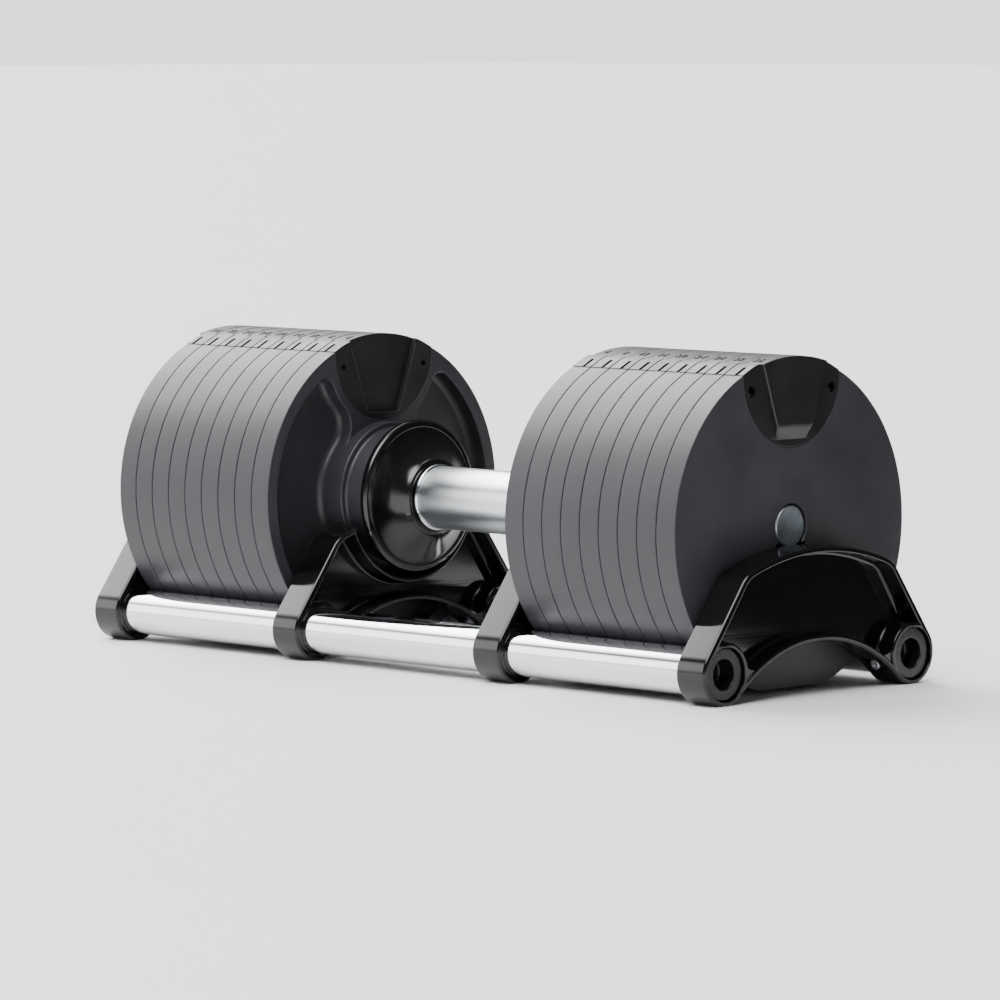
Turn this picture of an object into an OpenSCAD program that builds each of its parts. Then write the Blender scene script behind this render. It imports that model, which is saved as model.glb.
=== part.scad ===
// Adjustable dumbbell with its own cradle.
// The handle is twisted to slide two selector rods through the plates, and the
// plates that the rods reach lift out of the cradle with the handle.
// +Z up, X along the handle, origin on the floor under the middle of the handle. Millimetres.

/* [Plates] */
// Radius of every weight plate
plate_r = 87.5; // [84:0.5:110]
// Thickness of every weight plate
plate_t = 13.2; // [10.5:0.1:17]
// Air between neighbouring plates
plate_gap = 0.4; // [0.2:0.1:1.2]
// Depth cut off the bottom of each plate to make its flat
flat_cut = 3.5; // [1:0.5:6]
// Radial air between a selector rod and the plate holes
rod_air = 1.1; // [0.6:0.1:2]
// Depth of the flared notch under the plate hole
notch_drop = 5; // [3:0.5:9]
// How far the notch flares past the hole on each side, at its foot
notch_flare = 1.5; // [0.5:0.1:4]
// Bevel on the plate edges
plate_bevel = 0.9; // [0.3:0.1:1.5]

/* [Keystones] */
// Radius of the round pocket that holds the plastic keystone
key_r = 37; // [30:0.5:40]
// Distance from the top of the rim down to the pocket's centre
key_drop = 9.5; // [6:0.5:14]
// Height of the keystone above the rim
key_proud = 1; // [0.5:0.1:2]
// Air between a keystone and its pocket
key_fit = 0.1; // [0.05:0.05:0.3]
// Steel web left in the middle of the pocket
key_web = 3.2; // [2:0.2:4.4]
// Depth of the plastic cap over the web
cap_h = 5; // [3:0.5:8]
// Half width of the wedge at the rim
wedge_top = 25.4; // [20:0.2:27]
// Half width of the wedge at its foot
wedge_foot = 11.4; // [8:0.2:14]
// Height of the wedge from its foot to the rim
wedge_h = 42; // [34:0.5:43]
// Height of the slope at the wedge's foot
wedge_slope = 7; // [3:0.5:10]
// Height of the wedge over the plate face
wedge_d = 3; // [2:0.1:3.6]
// Air around a wedge in the next plate's recess
wedge_fit = 0.4; // [0.2:0.1:0.8]
// Shank radius of the keystone screws
key_screw_r = 1.5; // [1:0.1:2]
// Head radius of the keystone screws
key_screw_head = 2.7; // [2.2:0.1:3.2]
// Distance of the keystone screws from the pocket's centre
key_screw_at = 31.4; // [29:0.1:33]

/* [Hub plates] */
// Width of the hub plate's rim
hub_rim = 7.6; // [5:0.2:12]
// Depth of the dish in the hub plate's inner face
dish_d = 9.4; // [5:0.1:9.6]
// Width of the rib around the keystone pocket
rib_w = 4.5; // [3:0.5:7]
// Radius of the large step of the hub
hub_r = 40; // [34:0.5:43]
// Radius of the small step of the hub
hub_nose_r = 36.5; // [30:0.5:38]
// Length of the large step, in front of the plate
hub_len = 8; // [4:0.5:10]
// Length of the small step
hub_nose_len = 16.6; // [14:0.2:20]

/* [Handle] */
// Wall of the grip sleeve
grip_wall = 2.6; // [1.5:0.1:5]
// Length of the grip between its two collars
grip_len = 92; // [76:1:120]
// Length of each collar
collar_len = 3; // [2:0.5:5]
// Height of each collar over the grip
collar_step = 1.1; // [0.6:0.1:2]
// Radius of the flange at each end of the grip
flange_r = 42; // [38:0.5:51]
// Thickness of the flange's rim
flange_t = 5; // [3:0.5:7]
// Height of the flange's nose over the collar
nose_step = 2.6; // [1.5:0.1:5]
// Air between a collar and the flange
collar_gap = 0.4; // [0.3:0.1:1]

/* [Selector] */
// Radius of the selector rods
rod_r = 10.9; // [9:0.1:13.2]
// Distance of the rod's end behind the outer face at full weight
rod_inset = 0.5; // [0.2:0.1:2]
// Air between the flat sides of the two rods
rod_split = 0.4; // [0.2:0.1:1]
// Radial air of the running fits
run_fit = 0.08; // [0.03:0.01:0.1]
// Wall of the fixed core tube
core_wall = 1.4; // [1:0.1:1.6]
// Wall of the turning cam tube
cam_wall = 2.2; // [1.8:0.1:2.4]
// Turn of the grip for one plate, in degrees
click = 18; // [14:1:20]
// Radius of the follower pins
pin_r = 1.8; // [1.5:0.1:2]
// Air on each side of a follower pin in the cam slot
pin_air = 0.3; // [0.25:0.05:0.4]
// Length of the bush in each flange
bush_len = 4.5; // [3:0.5:5]
// Wall of the bush
bush_wall = 1.6; // [1:0.1:2]
// Radius of the detent ball
ball_r = 2; // [1.6:0.1:2.2]
// Radius of the detent plunger's body
plunger_r = 3; // [2.5:0.1:3.2]
// Length of the detent plunger's body
plunger_len = 10; // [8:0.5:11]
// Radius of the circle of hub screws
hub_screw_at = 29; // [25:0.5:30]
// Shank radius of the hub screws
hub_screw_r = 2.5; // [2:0.1:3]
// Head radius of the hub screws
hub_screw_head = 4.2; // [3.6:0.1:4.6]

/* [Cradle] */
// Radius of the two cradle tubes
tube_r = 12.5; // [10:0.1:15]
// Wall of the cradle tubes
tube_wall = 2; // [1.2:0.1:3]
// Distance between the two tube centres
tube_gauge = 144; // [120:1:146]
// Air between a resting plate and a tube
seat_air = 0.3; // [0.2:0.05:0.6]
// Wall of the arch bosses around the tubes
boss_wall = 4; // [3:0.1:7]
// Depth of the flat that each boss stands on
foot_cut = 0.3; // [0.1:0.1:0.6]
// Width of each arch along the tubes
arch_w = 20; // [16:0.5:26]
// Air between the last plate and an outer arch
arch_air = 1.7; // [1:0.1:6]
// Air between a hub plate and an inner arch
inner_air = 3.6; // [2:0.1:5]
// Distance from the handle's centre line down to the arch's crown
crown_drop = 9.3; // [6:0.1:14]
// Radius of the arch's crown
crown_r = 150; // [120:1:200]
// Radius of the arch's shoulders
shoulder_r = 18; // [12:0.5:22]
// Angle of the shoulders about the crown's centre
shoulder_a = 20; // [17:0.5:22]
// Height of an inner arch between the flange notch and its underside
arch_waist = 13; // [9:0.5:15]
// Thickness of the arch's rim
arch_rim = 3; // [2:0.1:4]
// Depth of the arch's outer recess
arch_recess = 11; // [6:0.5:12]
// Depth of the arch's inner recess
arch_back = 3; // [1:0.5:4]
// Radial air around the flange in an inner arch
notch_air = 3; // [2:0.1:5]
// How far the sink at the end of each outer boss is wider than its tube
sink_step = 1.5; // [0.8:0.1:2]
// Depth of the sink
sink_d = 3.3; // [2:0.1:5]
// Thickness of the end plug's head
plug_head = 1.5; // [1:0.1:1.8]
// Wall of the end plug's skirt
plug_wall = 2.7; // [1.5:0.1:4]
// Radius of the set screws
set_r = 3; // [2:0.1:3.5]
// Slope of the set screws below level
set_slope = 15; // [10:1:20]

/* [Hidden] */

$fn = 96;
eps = 0.5;
// Overlap that makes arcs cross where they would only touch
tuck = 0.02;

// Plates on each side that the rods can pick, besides the hub plate
plates = 8;
pitch = plate_t + plate_gap;
travel = plates * pitch;

// Handle layout along X, from the middle outwards
collar_x0 = grip_len / 2;
collar_x1 = collar_x0 + collar_len;
flange_x0 = collar_x1 + collar_gap;
pin_x = travel / 2;
slot_end = pin_x + pin_r + pin_air;
bush_x0 = flange_x0 + 0.5;
ball_x = max(slot_end + ball_r, bush_x0 + bush_len + plunger_r) + 0.6;
cam_end = ball_x + ball_r + 1;
flange_rim_x = max(cam_end - 0.5, flange_x0 + 9);
flange_x1 = max(flange_rim_x + flange_t, cam_end + 3);
hub_front = flange_x1;
inner_x = hub_front + hub_nose_len + hub_len;
outer_x = inner_x + travel + plate_t;
plate_hole_r = rod_r + rod_air;
notch_half = plate_hole_r + notch_flare;
rod_end = outer_x - rod_inset;
core_end = inner_x + plate_t - 0.8;

// Tubes nested around the rods
core_in = rod_r + run_fit;
core_out = core_in + core_wall;
cam_in = core_out + run_fit;
cam_out = cam_in + cam_wall;
bush_in = cam_out + run_fit;
bush_out = bush_in + bush_wall;
grip_r = cam_out + grip_wall;
collar_r = grip_r + collar_step;
flange_nose = collar_r + nose_step;

// Rods: the tails are half round so that they pass each other
tail_end = pin_x - pin_r - 4;
round_x = 2 * travel - tail_end + 1.5;

// Cam slots
cam_turn = plates * click;
slot_w = 2 * (pin_r + pin_air);
slot_steps = 16;
slot_mid_r = (cam_in + cam_out) / 2;
slot_lean = atan(slot_mid_r * cam_turn * PI / 180 / travel);
slot_seg = travel / slot_steps / cos(slot_lean) + 1.2;

// Cradle section
tube_h = tube_gauge / 2;
boss_r = tube_r + boss_wall;
tube_z = boss_r - foot_cut;
sink_r = tube_r + sink_step;
plug_hollow = tube_r - tube_wall - plug_wall;
notch_r = flange_r + notch_air;
under_drop = notch_r + arch_waist;
tube_drop = sqrt(pow(plate_r + tube_r + seat_air, 2) - tube_h * tube_h);
axis_z = tube_z + tube_drop;
under_a = tube_drop - under_drop;
under_r = (tube_h * tube_h + under_a * under_a - boss_r * boss_r) / (2 * (under_a + boss_r));
arch_x0 = outer_x + arch_air;
arch_x1 = arch_x0 + arch_w;
inner_arch_x1 = inner_x - inner_air;
inner_arch_x0 = inner_arch_x1 - arch_w;
tube_end = arch_x1 - sink_d;

// Keystones
key_z = plate_r - key_drop;
key_half = (plate_t - key_web) / 2;
key_top_r = plate_r + key_proud;
key_screw_y = key_screw_at * cos(13);
key_screw_z = key_z - key_screw_at * sin(13);
wedge_lean = (wedge_top - wedge_foot) / wedge_h;

module on_axis() {
  translate([0, 0, axis_z])
    children();
}

// Extrudes a Y-Z outline from x0 to x1
module along_x(x0, x1) {
  translate([x0, 0, 0])
    rotate([90, 0, 90])
      linear_extrude(x1 - x0)
        children();
}

module rod_x(r, x0, x1) {
  translate([x0, 0, 0])
    rotate([0, 90, 0])
      cylinder(r = r, h = x1 - x0);
}

// Turns a radius-length outline about the X axis
module spin_x() {
  rotate([0, 90, 0])
    rotate_extrude()
      children();
}

module other_side() {
  mirror([1, 0, 0])
    children();
}

// ---- Cradle ----

function unit(a) = [cos(a), sin(a)];

// Side view of an arch without its bosses, drawn in by the given inset
module arch_outline(inset) {
  crown_c = [0, -crown_drop - crown_r];
  sh_c = crown_c + (crown_r - shoulder_r) * unit(90 - shoulder_a);
  crown_p = crown_c + crown_r * unit(90 - shoulder_a);
  boss_c = [tube_h, -tube_drop];
  gap = boss_c - sh_c;
  gap_l = norm(gap);
  lean = asin((boss_r - shoulder_r) / gap_l);
  side_a = atan2(gap[1], gap[0]) + 90 - lean;
  sh_p = sh_c + (shoulder_r - inset) * unit(side_a);
  boss_p = boss_c + (boss_r - inset - tuck) * unit(side_a);
  under_c = [0, -under_drop - under_r];
  low_v = (boss_c - under_c) / norm(boss_c - under_c);
  low_p = under_c + under_r * low_v;
  top_y = crown_p[0];
  difference() {
    union() {
      intersection() {
        translate(crown_c)
          circle(r = crown_r - inset, $fn = 240);
        polygon([
          [-top_y, 10], [top_y, 10], crown_p, sh_c, sh_p, boss_p, boss_c, low_p,
          [-low_p[0], low_p[1]], [-boss_c[0], boss_c[1]], [-boss_p[0], boss_p[1]],
          [-sh_p[0], sh_p[1]], [-sh_c[0], sh_c[1]], [-crown_p[0], crown_p[1]]
        ]);
      }
      for (s = [-1, 1])
        translate([s * sh_c[0], sh_c[1]])
          circle(r = shoulder_r - inset + tuck);
    }
    translate(under_c)
      circle(r = under_r + inset + tuck, $fn = 240);
  }
}

module boss_outline(r) {
  for (s = [-1, 1])
    translate([s * tube_h, -tube_drop])
      circle(r = r);
}

// Places a set screw feature: local X runs out from the tube's centre
module at_set_screws(x) {
  for (s = [-1, 1])
    translate([x, s * tube_h, -tube_drop])
      rotate([s > 0 ? 180 + set_slope : -set_slope, 0, 0])
        rotate([0, 0, 90])
          children();
}

// One arch: recess_out faces +X. cut_r is the notch for the flange, 0 for none.
module arch(x0, cut_r) {
  x1 = x0 + arch_w;
  mid = x0 + arch_w / 2;
  difference() {
    union() {
      difference() {
        along_x(x0, x1)
          union() {
            arch_outline(0);
            boss_outline(boss_r);
          }
        along_x(x1 - arch_recess, x1 + eps)
          arch_recess_outline(cut_r);
        along_x(x0 - eps, x0 + arch_back)
          arch_recess_outline(cut_r);
      }
      intersection() {
        at_set_screws(mid)
          translate([tube_r + 2, -arch_w / 2 + 1, -set_r - 3])
            cube([boss_r - tube_r + 6, arch_w - 2, 2 * set_r + 6]);
        along_x(x0 + 0.5, x1 - 0.5)
          arch_outline(arch_rim / 2);
      }
    }
    if (cut_r > 0)
      rod_x(cut_r, x0 - eps, x1 + eps);
    for (s = [-1, 1])
      translate([0, s * tube_h, -tube_drop])
        rod_x(tube_r + run_fit, x0 - eps, x1 + eps);
    at_set_screws(mid)
      rotate([0, 90, 0])
        cylinder(r = set_r, h = 40);
    at_set_screws(mid)
      translate([boss_r + 1.5, -set_r - 1.5, -set_r - 1.2])
        cube([20, 2 * set_r + 3, 2 * set_r + 2.4]);
    translate([x0 - eps, -200, -tube_drop - tube_z - 20])
      cube([arch_w + 2 * eps, 400, 20]);
  }
}

module arch_recess_outline(cut_r) {
  difference() {
    arch_outline(arch_rim);
    boss_outline(boss_r);
    if (cut_r > 0)
      circle(r = cut_r + arch_rim, $fn = 180);
  }
}

module outer_arch_right() {
  color("#141416")
    on_axis()
      difference() {
        arch(arch_x0, 0);
        for (s = [-1, 1])
          translate([0, s * tube_h, -tube_drop])
            rod_x(sink_r, tube_end, arch_x1 + eps);
      }
}

module outer_arch_left() {
  other_side()
    outer_arch_right();
}

// The inner arches show the shallow recess to the plates and the deep one to the handle
module inner_arch_right() {
  color("#141416")
    on_axis()
      translate([inner_arch_x0 + inner_arch_x1, 0, 0])
        mirror([1, 0, 0])
          arch(inner_arch_x0, notch_r);
}

module inner_arch_left() {
  other_side()
    inner_arch_right();
}

module cradle_tube(s) {
  color("#d8dade")
    translate([0, s * tube_h, tube_z])
      difference() {
        rod_x(tube_r, -tube_end, tube_end);
        rod_x(tube_r - tube_wall, -tube_end - eps, tube_end + eps);
      }
}

module cradle_tube_front() {
  cradle_tube(-1);
}

module cradle_tube_rear() {
  cradle_tube(1);
}

module tube_end_plugs() {
  color("#1b1b1d")
    for (e = [0, 1])
      for (s = [-1, 1])
        mirror([e, 0, 0])
          translate([0, s * tube_h, tube_z])
            difference() {
              union() {
                rod_x(sink_r - 0.4, tube_end, tube_end + plug_head);
                rod_x(tube_r - tube_wall, tube_end - 12, tube_end);
              }
              rod_x(plug_hollow, tube_end - 9, tube_end + plug_head + eps);
            }
}

module arch_set_screws() {
  color("#b9bcc2")
    on_axis()
      for (e = [0, 1])
        mirror([e, 0, 0])
          for (x = [inner_arch_x0, arch_x0])
            at_set_screws(x + arch_w / 2)
              rotate([0, 90, 0])
                difference() {
                  translate([0, 0, tube_r])
                    cylinder(r = set_r, h = boss_r - tube_r + 4);
                  translate([0, 0, boss_r + 1.5])
                    cylinder(r = set_r * 0.55, h = 4, $fn = 6);
                }
}

// ---- Plates and keystones, drawn with the inner face at x = 0 ----

module plate_section(r) {
  difference() {
    circle(r = r, $fn = 360);
    translate([-200, -200 - plate_r + flat_cut])
      square([400, 200]);
  }
}

module plate_blank() {
  difference() {
    spin_x()
      polygon([
        [0, 0], [plate_r - plate_bevel, 0], [plate_r, plate_bevel],
        [plate_r, plate_t - plate_bevel], [plate_r - plate_bevel, plate_t], [0, plate_t]
      ]);
    translate([-eps, -200, -200 - plate_r + flat_cut])
      cube([plate_t + 2 * eps, 400, 200]);
  }
}

module key_outline(r, top) {
  intersection() {
    translate([0, key_z])
      circle(r = r, $fn = 180);
    circle(r = top, $fn = 360);
  }
}

// Wedge outline, widened by grow on its sides and foot
module wedge_outline(grow) {
  foot_z = plate_r - wedge_h;
  over = key_proud + 4;
  side = grow * sqrt(1 + wedge_lean * wedge_lean);
  low = wedge_foot + side - grow * wedge_lean;
  high = wedge_top + side + over * wedge_lean;
  polygon([
    [-low, foot_z - grow], [low, foot_z - grow],
    [high, plate_r + over], [-high, plate_r + over]
  ]);
}

module key_pocket() {
  along_x(-eps, key_half)
    key_outline(key_r, plate_r + 20);
  along_x(key_half + key_web, plate_t + eps)
    key_outline(key_r, plate_r + 20);
  along_x(-eps, plate_t + eps)
    difference() {
      key_outline(key_r, plate_r + 20);
      circle(r = plate_r - cap_h, $fn = 360);
    }
}

module at_key_screws() {
  for (s = [-1, 1])
    translate([0, s * key_screw_y, key_screw_z])
      children();
}

module hole_and_notch(x0, x1) {
  rod_x(plate_hole_r, x0, x1);
  along_x(x0, x1)
    polygon([
      [-notch_half + 3, -plate_hole_r * 0.7], [notch_half - 3, -plate_hole_r * 0.7],
      [notch_half, -plate_hole_r - notch_drop], [-notch_half, -plate_hole_r - notch_drop]
    ]);
}

module plate_body() {
  difference() {
    plate_blank();
    key_pocket();
    hole_and_notch(-eps, plate_t + eps);
    at_key_screws()
      rod_x(key_screw_r + 0.3, -eps, plate_t + eps);
  }
}

module key_recess() {
  along_x(-eps, wedge_d - plate_gap + wedge_fit)
    wedge_outline(wedge_fit);
}

// Outer half: carries the wedge and the cap over the web
module key_outer() {
  foot_z = plate_r - wedge_h;
  difference() {
    union() {
      along_x(key_half + key_web, plate_t)
        key_outline(key_r - key_fit, key_top_r);
      along_x(0, plate_t)
        difference() {
          key_outline(key_r - key_fit, key_top_r);
          circle(r = plate_r - cap_h, $fn = 360);
        }
      difference() {
        along_x(plate_t - eps, plate_t + wedge_d)
          intersection() {
            wedge_outline(0);
            key_outline(key_r - key_fit - 0.6, key_top_r);
          }
        translate([plate_t, 0, foot_z])
          rotate([0, -atan(wedge_slope / wedge_d) + 90, 0])
            translate([0, -60, -40])
              cube([40, 120, 40]);
      }
    }
    key_recess();
    at_key_screws() {
      rod_x(key_screw_r, -eps, plate_t + eps);
      rod_x(key_screw_head, plate_t - 1.8, plate_t + eps);
    }
  }
}

// Inner half: carries the recess for the next plate's wedge
module key_inner() {
  difference() {
    along_x(0, key_half)
      key_outline(key_r - key_fit, plate_r - cap_h);
    key_recess();
    at_key_screws()
      rod_x(key_screw_r, 1.2, plate_t);
  }
}

module key_screw_pair() {
  at_key_screws() {
    rod_x(key_screw_r, 1.2, plate_t - 1.8);
    rod_x(key_screw_head, plate_t - 1.8, plate_t - 0.4);
  }
}

module plate_at(side, n) {
  color("#55555c")
    on_axis()
      mirror([side < 0 ? 1 : 0, 0, 0])
        translate([inner_x + n * pitch, 0, 0])
          plate_body();
}

module keystone_row(side) {
  color("#1a1a1c")
    on_axis()
      mirror([side < 0 ? 1 : 0, 0, 0])
        for (n = [0:plates])
          translate([inner_x + n * pitch, 0, 0])
            children();
}

module plate_left_1() {
  plate_at(-1, 1);
}

module plate_left_2() {
  plate_at(-1, 2);
}

module plate_left_3() {
  plate_at(-1, 3);
}

module plate_left_4() {
  plate_at(-1, 4);
}

module plate_left_5() {
  plate_at(-1, 5);
}

module plate_left_6() {
  plate_at(-1, 6);
}

module plate_left_7() {
  plate_at(-1, 7);
}

module plate_left_8() {
  plate_at(-1, 8);
}

module plate_right_1() {
  plate_at(1, 1);
}

module plate_right_2() {
  plate_at(1, 2);
}

module plate_right_3() {
  plate_at(1, 3);
}

module plate_right_4() {
  plate_at(1, 4);
}

module plate_right_5() {
  plate_at(1, 5);
}

module plate_right_6() {
  plate_at(1, 6);
}

module plate_right_7() {
  plate_at(1, 7);
}

module plate_right_8() {
  plate_at(1, 8);
}

module keystone_outer_left() {
  keystone_row(-1)
    key_outer();
}

module keystone_outer_right() {
  keystone_row(1)
    key_outer();
}

module keystone_inner_left() {
  keystone_row(-1)
    key_inner();
}

module keystone_inner_right() {
  keystone_row(1)
    key_inner();
}

module keystone_screws() {
  color("#8f9298")
    on_axis()
      for (e = [0, 1])
        mirror([e, 0, 0])
          for (n = [0:plates])
            translate([inner_x + n * pitch, 0, 0])
              key_screw_pair();
}

// ---- Handle frame ----

module at_hub_screws() {
  for (a = [45:90:315])
    rotate([a, 0, 0])
      translate([0, 0, hub_screw_at])
        children();
}

module hub_plate_right() {
  front = hub_front - inner_x;
  color("#48484f")
    on_axis()
      translate([inner_x, 0, 0])
        difference() {
          union() {
            difference() {
              plate_blank();
              along_x(-eps, dish_d)
                difference() {
                  intersection() {
                    circle(r = plate_r - hub_rim, $fn = 360);
                    translate([-200, -plate_r + flat_cut + hub_rim - 2])
                      square([400, 400]);
                  }
                  circle(r = hub_r);
                  translate([0, key_z])
                    circle(r = key_r + rib_w, $fn = 180);
                }
            }
            rod_x(hub_r, -hub_len, dish_d + 1);
            rod_x(hub_nose_r, front, dish_d + 1);
          }
          key_pocket();
          at_key_screws()
            rod_x(key_screw_r + 0.3, -eps, plate_t + eps);
          rod_x(core_out, front - eps, plate_t + eps);
          at_hub_screws() {
            rod_x(hub_screw_r, front - eps, plate_t + eps);
            rod_x(hub_screw_head + 0.3, plate_t - 6, plate_t + eps);
          }
        }
}

module hub_plate_left() {
  other_side()
    hub_plate_right();
}

// Bell-shaped flange: a rim, a cone and a nose that holds the bush
module flange_body() {
  nose_x = flange_x0;
  rim_x = flange_rim_x;
  difference() {
    spin_x()
      polygon([
        [core_out, nose_x], [flange_nose - 0.8, nose_x], [flange_nose, nose_x + 0.8],
        [flange_nose + 1, nose_x + 2.5], [flange_r * 0.72, rim_x - 3.5],
        [flange_r - 4.5, rim_x - 0.6], [flange_r - 3.5, rim_x], [flange_r - 0.8, rim_x],
        [flange_r, rim_x + 0.8], [flange_r, flange_x1 - 0.8], [flange_r - 0.8, flange_x1],
        [core_out, flange_x1]
      ]);
    rod_x(bush_in + 0.15, nose_x - eps, cam_end + 0.6);
    rod_x(bush_out, bush_x0, bush_x0 + bush_len);
    rod_x(bush_out, nose_x - eps, bush_x0 + 0.1);
    at_hub_screws()
      rod_x(hub_screw_r, flange_x1 - 5.5, flange_x1 + eps);
  }
}

module flange_right() {
  color("#161618")
    on_axis()
      difference() {
        flange_body();
        translate([ball_x, 0, core_out])
          cylinder(r = plunger_r, h = cam_out + ball_r + plunger_len - core_out);
      }
}

module flange_left() {
  color("#161618")
    on_axis()
      other_side()
        flange_body();
}

module core_tube() {
  reach = slot_end + 0.3;
  color("#9b9ea5")
    on_axis()
      difference() {
        rod_x(core_out, -core_end, core_end);
        rod_x(core_in, -core_end - eps, core_end + eps);
        for (a = [-90, 90])
          rotate([a, 0, 0]) {
            translate([-reach + slot_w / 2, -slot_w / 2, core_in - 1])
              cube([2 * reach - slot_w, slot_w, core_wall + 2]);
            for (s = [-1, 1])
              translate([s * (reach - slot_w / 2), 0, core_in - 1])
                cylinder(r = slot_w / 2, h = core_wall + 2);
          }
      }
}

module hub_screws() {
  color("#2a2a2d")
    on_axis()
      for (e = [0, 1])
        mirror([e, 0, 0])
          at_hub_screws()
            difference() {
              union() {
                rod_x(hub_screw_r, flange_x1 - 5, inner_x + plate_t - 6);
                rod_x(hub_screw_head, inner_x + plate_t - 6, inner_x + plate_t - 1);
              }
              translate([inner_x + plate_t - 3.5, 0, 0])
                rotate([0, 90, 0])
                  cylinder(r = hub_screw_r * 0.9, h = 4, $fn = 6);
            }
}

module detent_plunger() {
  color("#c9a24a")
    on_axis()
      translate([ball_x, 0, cam_out + ball_r])
        difference() {
          cylinder(r = plunger_r, h = plunger_len);
          translate([0, 0, -eps])
            cylinder(r = ball_r + 0.05, h = 4 + eps);
        }
}

// The ball rides on the lands between the dimples
module detent_ball() {
  color("#d5d7db")
    on_axis()
      translate([ball_x, 0, cam_out + ball_r + run_fit + 0.05])
        sphere(r = ball_r);
}

module grip_bush_right() {
  color("#c8b68a")
    on_axis()
      difference() {
        rod_x(bush_out, bush_x0, bush_x0 + bush_len);
        rod_x(bush_in, bush_x0 - eps, bush_x0 + bush_len + eps);
      }
}

module grip_bush_left() {
  other_side()
    grip_bush_right();
}

// ---- Grip ----

module grip_sleeve() {
  color("#c4c6ca")
    on_axis()
      difference() {
        rod_x(grip_r, -collar_x0, collar_x0);
        rod_x(cam_out, -collar_x0 - eps, collar_x0 + eps);
      }
}

module grip_collar_right() {
  color("#dfe1e4")
    on_axis()
      difference() {
        spin_x()
          polygon([
            [cam_out, collar_x0], [collar_r - 0.8, collar_x0], [collar_r, collar_x0 + 0.8],
            [collar_r, collar_x1 - 0.4], [collar_r - 0.4, collar_x1], [cam_out, collar_x1]
          ]);
      }
}

module grip_collar_left() {
  other_side()
    grip_collar_right();
}

// A helical slot as a run of short straight cuts. It starts at angle a0 about X.
module cam_slot(a0, x_from, x_to) {
  dir = x_to > x_from ? 1 : -1;
  step_a = cam_turn / slot_steps;
  for (i = [0:slot_steps - 1])
    rotate([a0 - (i + 0.5) * step_a, 0, 0])
      translate([x_from + dir * (i + 0.5) * travel / slot_steps, 0, 0])
        rotate([0, 0, dir * slot_lean])
          translate([-slot_seg / 2, -slot_w / 2, cam_in - 1])
            cube([slot_seg, slot_w, cam_wall + 2]);
  for (e = [0, 1])
    rotate([a0 - e * cam_turn, 0, 0])
      translate([e == 0 ? x_from : x_to, 0, cam_in - 1])
        cylinder(r = slot_w / 2, h = cam_wall + 2);
}

module cam_tube() {
  color("#8e9299")
    on_axis()
      difference() {
        rod_x(cam_out, -cam_end, cam_end);
        rod_x(cam_in, -cam_end - eps, cam_end + eps);
        cam_slot(-90, pin_x, -pin_x);
        cam_slot(90, -pin_x, pin_x);
        for (n = [0:plates])
          rotate([-n * click, 0, 0])
            translate([ball_x, 0, cam_out + ball_r - 0.7])
              sphere(r = ball_r);
      }
}

// ---- Selector rods ----

module rod_body() {
  difference() {
    union() {
      rod_x(rod_r, round_x, rod_end - 0.6);
      spin_x()
        polygon([
          [0, rod_end - 0.7], [rod_r, rod_end - 0.7], [rod_r - 0.6, rod_end], [0, rod_end]
        ]);
      rod_x(rod_r, tail_end, round_x);
    }
    translate([tail_end - eps, -2 * rod_r + rod_split / 2, -2 * rod_r])
      cube([round_x - tail_end + eps, 2 * rod_r, 4 * rod_r]);
    translate([pin_x, rod_r - 6, 0])
      rotate([-90, 0, 0])
        cylinder(r = pin_r, h = 12);
  }
}

module pin_body() {
  translate([pin_x, rod_r - 6, 0])
    rotate([-90, 0, 0])
      cylinder(r = pin_r, h = cam_out - 0.4 - rod_r + 6);
}

module selector_rod_right() {
  color("#8d969e")
    on_axis()
      rod_body();
}

module selector_rod_left() {
  color("#8d969e")
    on_axis()
      rotate([0, 0, 180])
        rod_body();
}

module follower_pin_right() {
  color("#6c7077")
    on_axis()
      pin_body();
}

module follower_pin_left() {
  color("#6c7077")
    on_axis()
      rotate([0, 0, 180])
        pin_body();
}

cradle_tube_front();
cradle_tube_rear();
outer_arch_left();
outer_arch_right();
inner_arch_left();
inner_arch_right();
tube_end_plugs();
arch_set_screws();
hub_plate_left();
hub_plate_right();
flange_left();
flange_right();
core_tube();
hub_screws();
detent_plunger();
detent_ball();
grip_bush_left();
grip_bush_right();
grip_sleeve();
grip_collar_left();
grip_collar_right();
cam_tube();
selector_rod_left();
selector_rod_right();
follower_pin_left();
follower_pin_right();
plate_left_1();
plate_left_2();
plate_left_3();
plate_left_4();
plate_left_5();
plate_left_6();
plate_left_7();
plate_left_8();
plate_right_1();
plate_right_2();
plate_right_3();
plate_right_4();
plate_right_5();
plate_right_6();
plate_right_7();
plate_right_8();
keystone_outer_left();
keystone_outer_right();
keystone_inner_left();
keystone_inner_right();
keystone_screws();
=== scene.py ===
from math import acos, asin, atan2, cos, degrees, hypot, pi, radians, sin, sqrt, tan

import bmesh
import bpy
from bpy.props import FloatProperty, IntProperty, PointerProperty, StringProperty
from mathutils import Matrix, Vector
from mathutils.geometry import tessellate_polygon


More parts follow.
